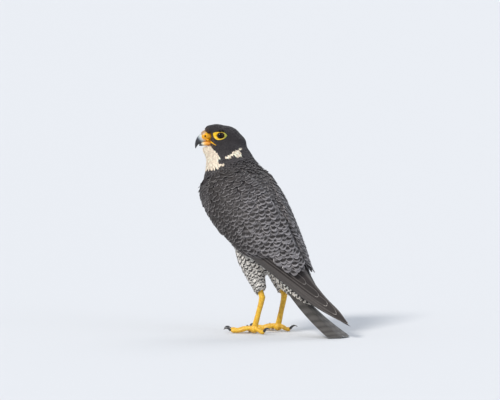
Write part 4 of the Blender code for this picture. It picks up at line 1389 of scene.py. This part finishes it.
def growTube(name, stations, sides, flatBelow=1.0):
    # circle drawn out along the stations: forward, out, up, half height, half width, turn
    bpy.ops.mesh.primitive_circle_add(vertices=sides, radius=mm, fill_type="NGON",
                                      rotation=(math.pi / 2, 0, 0))
    tube = bpy.context.object
    tube.name = tube.data.name = name
    bpy.ops.object.transform_apply(location=True, rotation=True, scale=True)
    pickVertices(tube, lambda vertex: vertex.co.z < -0.01 * mm)
    bpy.ops.transform.resize(value=(1, 1, flatBelow), center_override=(0, 0, 0))
    centres = [Vector((out, -ahead, up)) * mm for ahead, out, up, *_ in stations]
    sizes = [(wide, 1, high) for *_, high, wide, _ in stations]
    drawOut(zip(centres, sizes))
    for number, centre in enumerate(centres):
        first, turn = number * sides, stations[number][-1]
        pickVertices(tube, lambda vertex: first <= vertex.index < first + sides)
        bpy.ops.transform.rotate(value=-math.radians(turn), orient_axis="X", center_override=centre)
        bpy.ops.object.mode_set(mode="OBJECT")
    faceOutwards()
    roundTwice(tube)
    return tube


def setOnHead(piece, slot, material, *nodes):
    piece.data.transform(headFrame)
    piece.data.update()
    piece.data.shade_smooth()
    piece.data.materials.clear()
    setUp(piece, material, slot, *nodes)


def alongHead(shade, axis):
    # distance along one of the head's axes from its centre, in millimetres
    sockets = {0: shade.ownPlace(), 1: headCentre}
    moved = shade.add("ShaderNodeVectorMath", {"operation": "SUBTRACT"}, sockets)
    along = shade.add("ShaderNodeVectorMath", {"operation": "DOT_PRODUCT"}, {0: moved, 1: axis}, out=1)
    return along * (1 / mm)


upperBill = ((29.2, 0, 3.4, 8.4, 6.4, 14), (31.2, 0, 2.6, 8.9, 7.0, 20),
             (35.0, 0, -0.2, 7.4, 5.8, 38), (38.2, 0, -3.2, 5.4, 4.6, 54), (40.6, 0, -6.6, 3.6, 3.3, 68),
             (41.9, 0, -9.8, 2.3, 2.1, 77), (42.6, 0, -12.6, 1.3, 1.2, 83), (42.9, 0, -14.8, 0.4, 0.4, 86))
lowerBill = ((14, 0, -6.0, 4.0, 7.0, 0), (22, 0, -6.1, 4.3, 6.7, 0), (29, 0, -6.6, 4.2, 5.5, 4),
             (33.4, 0, -7.7, 3.3, 4.0, 10), (36.4, 0, -9.2, 1.6, 2.2, 18), (37.3, 0, -9.8, 0.5, 0.9, 22))
cereRings = ((15, 0, 5.4, 8.6, 6.4, 0), (20, 0, 5.8, 9.6, 7.5, 0), (24, 0, 5.8, 10.7, 8.7, 0),
             (28, 0, 5.1, 10.4, 8.8, 3), (31, 0, 4.1, 9.6, 8.0, 5), (32.6, 0, 3.4, 8.9, 7.1, 6),
             (33.1, 0, 3.2, 7.8, 6.0, 6))
billTooth = {"forward": 36.2, "up": -6.0, "reach": 2.2, "drop": 1.1}
nostril = {"forward": 27.0, "out": 8.3, "up": 5.7, "radius": 1.45, "rim": 1.95, "thick": 0.5}


def hornMaterial():
    made, shader, shade = startMaterial("billHorn", 0.30, Coat_Weight=0.35)
    ahead, up = alongHead(shade, forward), alongHead(shade, upward)
    streak = shade.noise(420.0, 3.0, 0.6) - 0.5
    dark = (ahead - up * 0.75 + streak * 3.0).rise(31.0, 42.5)
    colour = dark.ramp((0.0, (0.44, 0.48, 0.47)), (0.30, (0.24, 0.27, 0.29)), (0.62, (0.045, 0.05, 0.06)),
                       (1.0, (0.012, 0.013, 0.016)))
    feed(shader, "Base Color", colour)
    return made


def lowerHornMaterial():
    made, shader, shade = startMaterial("lowerBillHorn", 0.34, Coat_Weight=0.3)
    ahead, up = alongHead(shade, forward), alongHead(shade, upward)
    part = (ahead - (up + 7.0) * 0.6).rise(24.0, 38.5)
    colour = part.ramp((0.0, (0.80, 0.33, 0.03)), (0.28, (0.80, 0.52, 0.20)), (0.55, (0.62, 0.57, 0.44)),
                       (0.80, (0.10, 0.10, 0.11)), (1.0, (0.018, 0.019, 0.022)))
    feed(shader, "Base Color", colour)
    return made


def cereMaterial():
    made, shader, shade = startMaterial("cereSkin", 0.40, Subsurface_Weight=0.1, Subsurface_Scale=0.002)
    ahead, up = alongHead(shade, forward), alongHead(shade, upward)
    dx, dz = ahead - nostril["forward"], up - nostril["up"]
    around = shade.maths("SQRT", dx * dx + dz * dz)
    soft = shade.noise(330.0, 3.0, 0.6).rise(0.38, 0.85)
    colour = soft.mixColours((0.72, 0.30, 0.003), (0.95, 0.58, 0.006))
    # painted shade in and round the nostril opening
    colour = colour.tint((0.20, 0.045, 0.003), 1 - around.rise(1.0, 1.7))
    # painted shade: the top of the cere turns brown under the forehead feathers
    colour = colour.tint((0.30, 0.19, 0.11), (up + (ahead - 26) * 0.7).rise(9.5, 13.5) * 0.9)
    # paler along the cutting edge, in front of the gape
    colour = colour.tint((0.66, 0.47, 0.30), (ahead * 0.5 - up).rise(12.4, 15.0) * ahead.rise(24.5, 28.5))
    feed(shader, "Base Color", colour)
    feedBump(shader, shade.noise(2200.0, 2.0, 0.5), 0.15, 0.0002)
    return made


def growBill():
    horn = growTube("upperBill", upperBill, 20, 0.84)
    # the tooth behind the hook, on both cutting edges
    for vertex in horn.data.vertices:
        x, ahead, up = vertex.co.x / mm, -vertex.co.y / mm, vertex.co.z / mm
        away = math.hypot(ahead - billTooth["forward"], up - billTooth["up"])
        if away < billTooth["reach"] and abs(x) > 1.2:
            vertex.co.z -= billTooth["drop"] * mm * (1 - away / billTooth["reach"])
    setOnHead(horn, "horn", hornMaterial(), "beak_upper")
    setOnHead(growTube("lowerBill", lowerBill, 16), "horn", lowerHornMaterial(), "beak_lower")
    cere = growTube("cere", cereRings, 24, 0.84)
    for side in (1, -1):
        place = Vector((nostril["out"] * side, -nostril["forward"], nostril["up"])) * mm
        bpy.ops.mesh.primitive_cylinder_add(vertices=20, radius=nostril["radius"] * mm, depth=5 * mm,
                                            location=place, rotation=(0, math.pi / 2, 0))
        hole = bpy.context.object
        cut = cere.modifiers.new("nostril", "BOOLEAN")
        cut.operation = "DIFFERENCE"
        cut.solver = "EXACT"
        cut.object = hole
        applyAll(cere)
        bpy.data.objects.remove(hole)
    material = cereMaterial()
    rims = []
    tree = BVHTree.FromObject(cere, bpy.context.evaluated_depsgraph_get())
    for side in (1, -1):
        middle = Vector((40 * side, -nostril["forward"], nostril["up"])) * mm
        beside = middle + Vector((0, 0, nostril["radius"] * 1.5 * mm))
        hit = tree.ray_cast(beside, Vector((-side, 0, 0)))[0]
        place = Vector((hit.x - 0.1 * side * mm, middle.y, middle.z))
        bpy.ops.mesh.primitive_torus_add(major_segments=28, minor_segments=10, location=place,
                                         rotation=(0, math.pi / 2, math.radians(9) * side),
                                         major_radius=nostril["rim"] * mm, minor_radius=nostril["thick"] * mm)
        rims.append(bpy.context.object)
        bpy.ops.mesh.primitive_uv_sphere_add(segments=12, ring_count=8, radius=0.5 * mm,
                                             location=place - Vector((0.9 * side * mm, 0, 0)))
        rims.append(bpy.context.object)
    joinTo(cere, rims)
    setOnHead(cere, "bare_skin", material, "cere")
    return material


# the bare rim of the gape: forward, up, half height, half width
gapeLine = ((27.0, 1.2, 0.6, 0.5), (24.5, 0.4, 1.7, 0.9), (22.4, -0.7, 2.1, 1.2), (20.9, -1.6, 2.1, 1.3),
            (19.5, -2.6, 2.0, 1.3), (17.0, -4.2, 1.6, 1.3), (14.5, -5.7, 1.2, 1.1), (12.0, -7.2, 0.75, 0.8),
            (8.8, -8.9, 0.4, 0.5))


def growGape(surface, material):
    for name, side in (("gape_left", 1), ("gape_right", -1)):
        stations = []
        for ahead, up, high, wide in gapeLine:
            over = np.interp(ahead, (9, 14, 18, 21), (0.5, 0.8, 1.5, 1.0))
            least = np.interp(ahead, (19, 20.9, 24, 27), (0, 8.7, 8.8, 8.8))
            out = max(besideHead(surface, ahead, up, side) + over, least)
            stations.append((ahead, out * side, up, high, wide, 0))
        gape = growTube(name, stations, 10)
        setOnHead(gape, "bare_skin", material)


# radius of the eyeball, half width and half height of the opening between the lids
# the clear front, a share of the radius, stands out, and the rim lies back under the lids
eyeLook = {"radius": 6.9, "wide": 5.6, "high": 4.8, "gaze": (-0.12, -0.02), "front": 0.62, "bulge": 0.55,
           "rim": 0.84, "rimWidth": 0.16, "sink": 1.6}
# outline of the bare patch from the eye's middle: turn in degrees from straight ahead, and reach;
# then for each row from the lids outwards its place, its distance, its height and its darkness
ringLook = {"outline": ((-180, 11.2), (-148, 8.3), (-120, 7.0), (-97, 6.9), (-70, 8.0), (-48, 9.8),
                        (-15, 11.8), (0, 12.4), (17, 13.3), (27, 11.2), (41.5, 8.2), (64, 6.2), (90, 5.5),
                        (127, 6.4), (158, 8.8), (180, 11.2)),
            "rows": 9, "count": 56,
            "places": (0.0, 0.012, 0.05, 0.11, 0.19, 0.32, 0.5, 0.7, 0.88, 1.0),
            "margin": (0.0, 0.12, 0.45, 0.5, 0.3, 0, 0, 0, 0, 0),
            "raise": (-0.9, 0.1, 0.6, 0.55, 0.2, 0.0, 0.1, 0.1, 0.0, -0.8),
            "dark": (1, 1, 0.55, 0.05, 0, 0, 0, 0, 0, 0),
            "offSkin": 0.35, "offPlace": 0.75, "offNearest": 0.4, "offBall": 0.15, "thick": 0.5}


def ringReach(angle):
    turns, reach = np.array(ringLook["outline"]).T
    return np.interp(np.degrees(angle), turns, reach)


def eyeMaterial():
    made, shader, shade = startMaterial("eye", 0.04, IOR=1.30)
    away = shade.attribute("fromPupil").split("ShaderNodeSeparateColor")[0]
    colour = away.ramp((0.0, (0.001, 0.001, 0.001)), (0.42, (0.001, 0.001, 0.001)),
                       (0.5, (0.020, 0.009, 0.004)), (0.78, (0.030, 0.014, 0.006)),
                       (0.9, (0.004, 0.003, 0.003)), (1.0, (0.01, 0.01, 0.01)))
    feed(shader, "Base Color", colour)
    return made


def lidMaterial():
    made, shader, shade = startMaterial("eyeRing", 0.45, Subsurface_Weight=0.1, Subsurface_Scale=0.002)
    ahead = alongHead(shade, forward)
    soft = shade.noise(420.0, 3.0, 0.6).rise(0.3, 0.75)
    colour = soft.mixColours((0.80, 0.46, 0.003), (0.95, 0.62, 0.006))
    colour = colour.tint((0.30, 0.31, 0.04), 1 - ahead.rise(-7.0, 2.0))
    margin, rim, _ = shade.attribute("lid").split("ShaderNodeSeparateColor")
    colour = colour.tint((0.045, 0.032, 0.012), margin)
    # painted shade along the ring's outer rows, where it goes under the feathers
    colour = colour.tint((0.07, 0.05, 0.02), rim * 0.8)
    feed(shader, "Base Color", colour)
    feedBump(shader, shade.noise(1900.0, 2.0, 0.5), 0.25, 0.0003)
    return made


def growEyeball(name, side, material):
    middle = Vector((eyeAt["aside"] * side, -eyeAt["forward"], eyeAt["up"])) * mm
    bpy.ops.mesh.primitive_uv_sphere_add(segments=48, ring_count=24, radius=eyeLook["radius"] * mm,
                                         location=middle)
    eye = bpy.context.object
    eye.name = eye.data.name = "eyeball_" + name
    bpy.ops.object.transform_apply(location=True, rotation=True, scale=True)
    gaze = Vector((side, *eyeLook["gaze"])).normalized()
    layer = eye.data.attributes.new("fromPupil", "FLOAT_COLOR", "POINT")
    for vertex, item in zip(eye.data.vertices, layer.data):
        spot = vertex.co - middle
        along = spot.dot(gaze)
        away = (spot - gaze * along).length / (eyeLook["radius"] * mm)
        away = away if along > 0 else 1.0
        if along > 0:
            vertex.co += gaze * eyeLook["bulge"] * mm * max(0.0, 1 - (away / eyeLook["front"]) ** 2)
            vertex.co -= gaze * eyeLook["sink"] * mm * max(0.0, away - eyeLook["rim"]) / eyeLook["rimWidth"]
        item.color = (away, away, away, 1)
    setOnHead(eye, "eye", material, "eye_" + name)


def growEyeRing(name, side, surface, material):
    rows, count = ringLook["rows"], ringLook["count"]
    places = np.empty((rows + 1, count, 3))
    skinSide, bareSide = np.empty((rows + 1, count)), np.empty((rows + 1, count))
    for n in range(count):
        angle = 2 * math.pi * n / count - math.pi
        c, s = math.cos(angle), math.sin(angle)
        inner = 1 / math.hypot(c / eyeLook["wide"], s / eyeLook["high"])
        outer = float(ringReach(angle))
        for k in range(rows + 1):
            reach = inner + (outer - inner) * ringLook["places"][k] + ringLook["margin"][k]
            ahead, up = eyeAt["forward"] + reach * c, eyeAt["up"] + reach * s
            ball = eyeAt["aside"] + math.sqrt(max(eyeLook["radius"] ** 2 - reach ** 2, 0))
            skinOut = besideHead(surface, ahead, up, side)
            bareSide[k, n] = skinOut
            skinSide[k, n] = max(skinOut, ball - 0.3 if reach < eyeLook["radius"] else 0)
            places[k, n] = max(ball + ringLook["offBall"], skinOut + ringLook["offSkin"]), -ahead, up
    for _ in range(3):
        out = places[..., 0]
        around = (np.roll(out, 1, 1) + np.roll(out, -1, 1)) / 2
        out[2:-1] = out[2:-1] * 0.4 + around[2:-1] * 0.2 + (out[1:-2] + out[3:]) * 0.2
    # between two of its points the ring stays above the highest skin beside them
    for _ in range(2):
        bareSide = np.max([np.roll(bareSide, turn, 1) for turn in (-1, 0, 1)], 0)
    nearest = np.max((bareSide[1:-2], bareSide[2:-1], bareSide[3:]), 0)
    lowest = (skinSide[2:-1] + ringLook["offPlace"], nearest + ringLook["offNearest"])
    places[2:-1, :, 0] = np.max((places[2:-1, :, 0], *lowest), 0)
    places[..., 0] += np.array(ringLook["raise"])[:, None]
    places[..., 0] *= side
    points = places.reshape(-1, 3)
    marks = np.zeros((rows + 1, count, 3))
    marks[..., 0] = np.array(ringLook["dark"])[:, None]
    # the outer two rows carry painted shade, where the ring goes under the feathers
    marks[-1, :, 1] = 1
    marks[-2, :, 1] = 0.25
    marks = marks.reshape(-1, 3)
    number = np.arange((rows + 1) * count).reshape(rows + 1, count)
    after = np.roll(number, -1, axis=1)
    quads = np.stack((number[:-1], after[:-1], after[1:], number[1:]), -1).reshape(-1, 4)
    # the low side closes the ring underneath
    total = len(points)
    under = quads[:, ::-1] + total
    low = points - np.array((ringLook["thick"] * side, 0, 0))
    walls = [np.stack((after[k], number[k], number[k] + total, after[k] + total), -1) for k in (0, rows)]
    walls[1] = walls[1][:, ::-1]
    quads = np.concatenate((quads, under, *walls))
    if side < 0:
        quads = quads[:, ::-1]
    ring = meshOf("eyeRing_" + name, np.concatenate((points, low)) * mm, quads, None,
                  {"lid": np.concatenate((marks, marks))})
    pick(ring)
    faceOutwards()
    setOnHead(ring, "bare_skin", material)


def growEyes(surface):
    look, lids = eyeMaterial(), lidMaterial()
    for name, side in (("left", 1), ("right", -1)):
        growEyeball(name, side, look)
        growEyeRing(name, side, surface, lids)


# Legs and feet

legLook = {"voxel": 0.62, "smooth": 8, "scale": 1.9, "relief": 0.4}
# the bare lower leg: y, z, half width and half depth, from inside the thigh's feathers to the foot
shankRings = ((-1.5, 77, 4.6, 5.0), (3.5, 67, 5.0, 5.4), (7.0, 59, 4.9, 5.4), (5.0, 50, 4.3, 5.0),
              (-0.6, 32, 3.9, 4.7), (-5.2, 17, 4.5, 5.2), (-8, 8, 4.8, 5.4))


def legMaterial():
    # bare yellow skin
    made, shader, shade = startMaterial("legSkin", 0.42, Subsurface_Weight=0.12, Subsurface_Scale=0.002,
                                        Subsurface_Radius=(1.0, 0.5, 0.2))
    soft = shade.noise(240.0, 3.0, 0.6).rise(0.35, 0.7)
    feed(shader, "Base Color", soft.mixColours((0.62, 0.33, 0.020), (0.80, 0.50, 0.035)))
    feedBump(shader, shade.noise(1440.0, 2.0, 0.5), 0.15, 0.0003)
    return made


def clawMaterial():
    made, shader, shade = startMaterial("clawHorn", 0.28, Coat_Weight=0.4)
    streak = shade.noise(500.0, 3.0, 0.6).rise(0.35, 0.75)
    feed(shader, "Base Color", streak.mixColours((0.012, 0.012, 0.014), (0.045, 0.043, 0.045)))
    return made


def growLeg(name, side, material):
    leg = copyOfNodes("leg_" + name, ["foot_" + name])
    bpy.ops.mesh.primitive_circle_add(vertices=20, radius=mm, fill_type="NGON")
    shank = bpy.context.object
    rings = []
    for y, z, wide, deep in shankRings:
        centre = Vector(fromStations(np.array((side * (28 + 2 * (60 - z) / 52), y, z))))
        rings.append((centre, (wide, deep, 1)))
    drawOut(rings)
    faceOutwards()
    joinTo(leg, [shank])
    evenOut(leg, legLook["voxel"], legLook["smooth"])
    cells = bpy.data.textures.new("scales_" + name, "VORONOI")
    cells.noise_scale = legLook["scale"] * mm
    cells.distance_metric = "DISTANCE"
    scales = leg.modifiers.new("scales", "DISPLACE")
    scales.texture = cells
    scales.texture_coords = "LOCAL"
    scales.mid_level = 0.35
    scales.strength = -legLook["relief"] * mm
    applyAll(leg)
    keepLargest(leg)
    for vertex in leg.data.vertices:
        vertex.co.z = max(vertex.co.z, 0.0)
    leg.data.shade_smooth()
    setUp(leg, material, "bare_skin", "foot_" + name, "shank_" + name)


def growClaws(name, material):
    nodes = ["claw_" + toe + "_" + name for toe in ("hallux", "inner", "middle", "outer")]
    claws = copyOfNodes("claws_" + name, nodes)
    swell = claws.modifiers.new("swell", "DISPLACE")
    swell.mid_level = 0.0
    swell.strength = 0.35 * mm
    roundTwice(claws)
    claws.data.shade_smooth()
    setUp(claws, material, "horn", *nodes)


def growLegs():
    yellow, black = legMaterial(), clawMaterial()
    for name, side in (("left", 1), ("right", -1)):
        growLeg(name, side, yellow)
        growClaws(name, black)


lightStudio(*placeCamera())
layFloor()
print("camera, light and floor")

materials = {"dark": plumageMaterial("darkFeathers", 120.0, {}),
             "pale": plumageMaterial("paleFeathers", 120.0, {}),
             "flight": plumageMaterial("flightFeathers", 420.0, {"rimFrom": 0.90, "tipward": 12.0}),
             "tertial": plumageMaterial("tertialFeathers", 300.0, {"bars": 5, "tipward": 4.5}),
             "tail": plumageMaterial("tailFeathers", 420.0, {"bars": 9, "rimFrom": 0.93, "tipward": 14.0})}
skin = buildSkin()
print("skin", len(skin.data.polygons))
surface = Surface(skin)
patches = unwrapOf(skin)
print("unwrapped")
coverts = []
for side, seed in (("left", 31), ("right", 32)):
    coverts.append(layCoverts(side, materials["dark"], patches, seed))
    layFlight(side, materials, seed)
growCoat(surface, patches, coverts, materials["dark"], materials["pale"])
layTail(materials)
cereColour = growBill()
growGape(surface, cereColour)
growEyes(surface)
print("head")
growLegs()
print("legs")
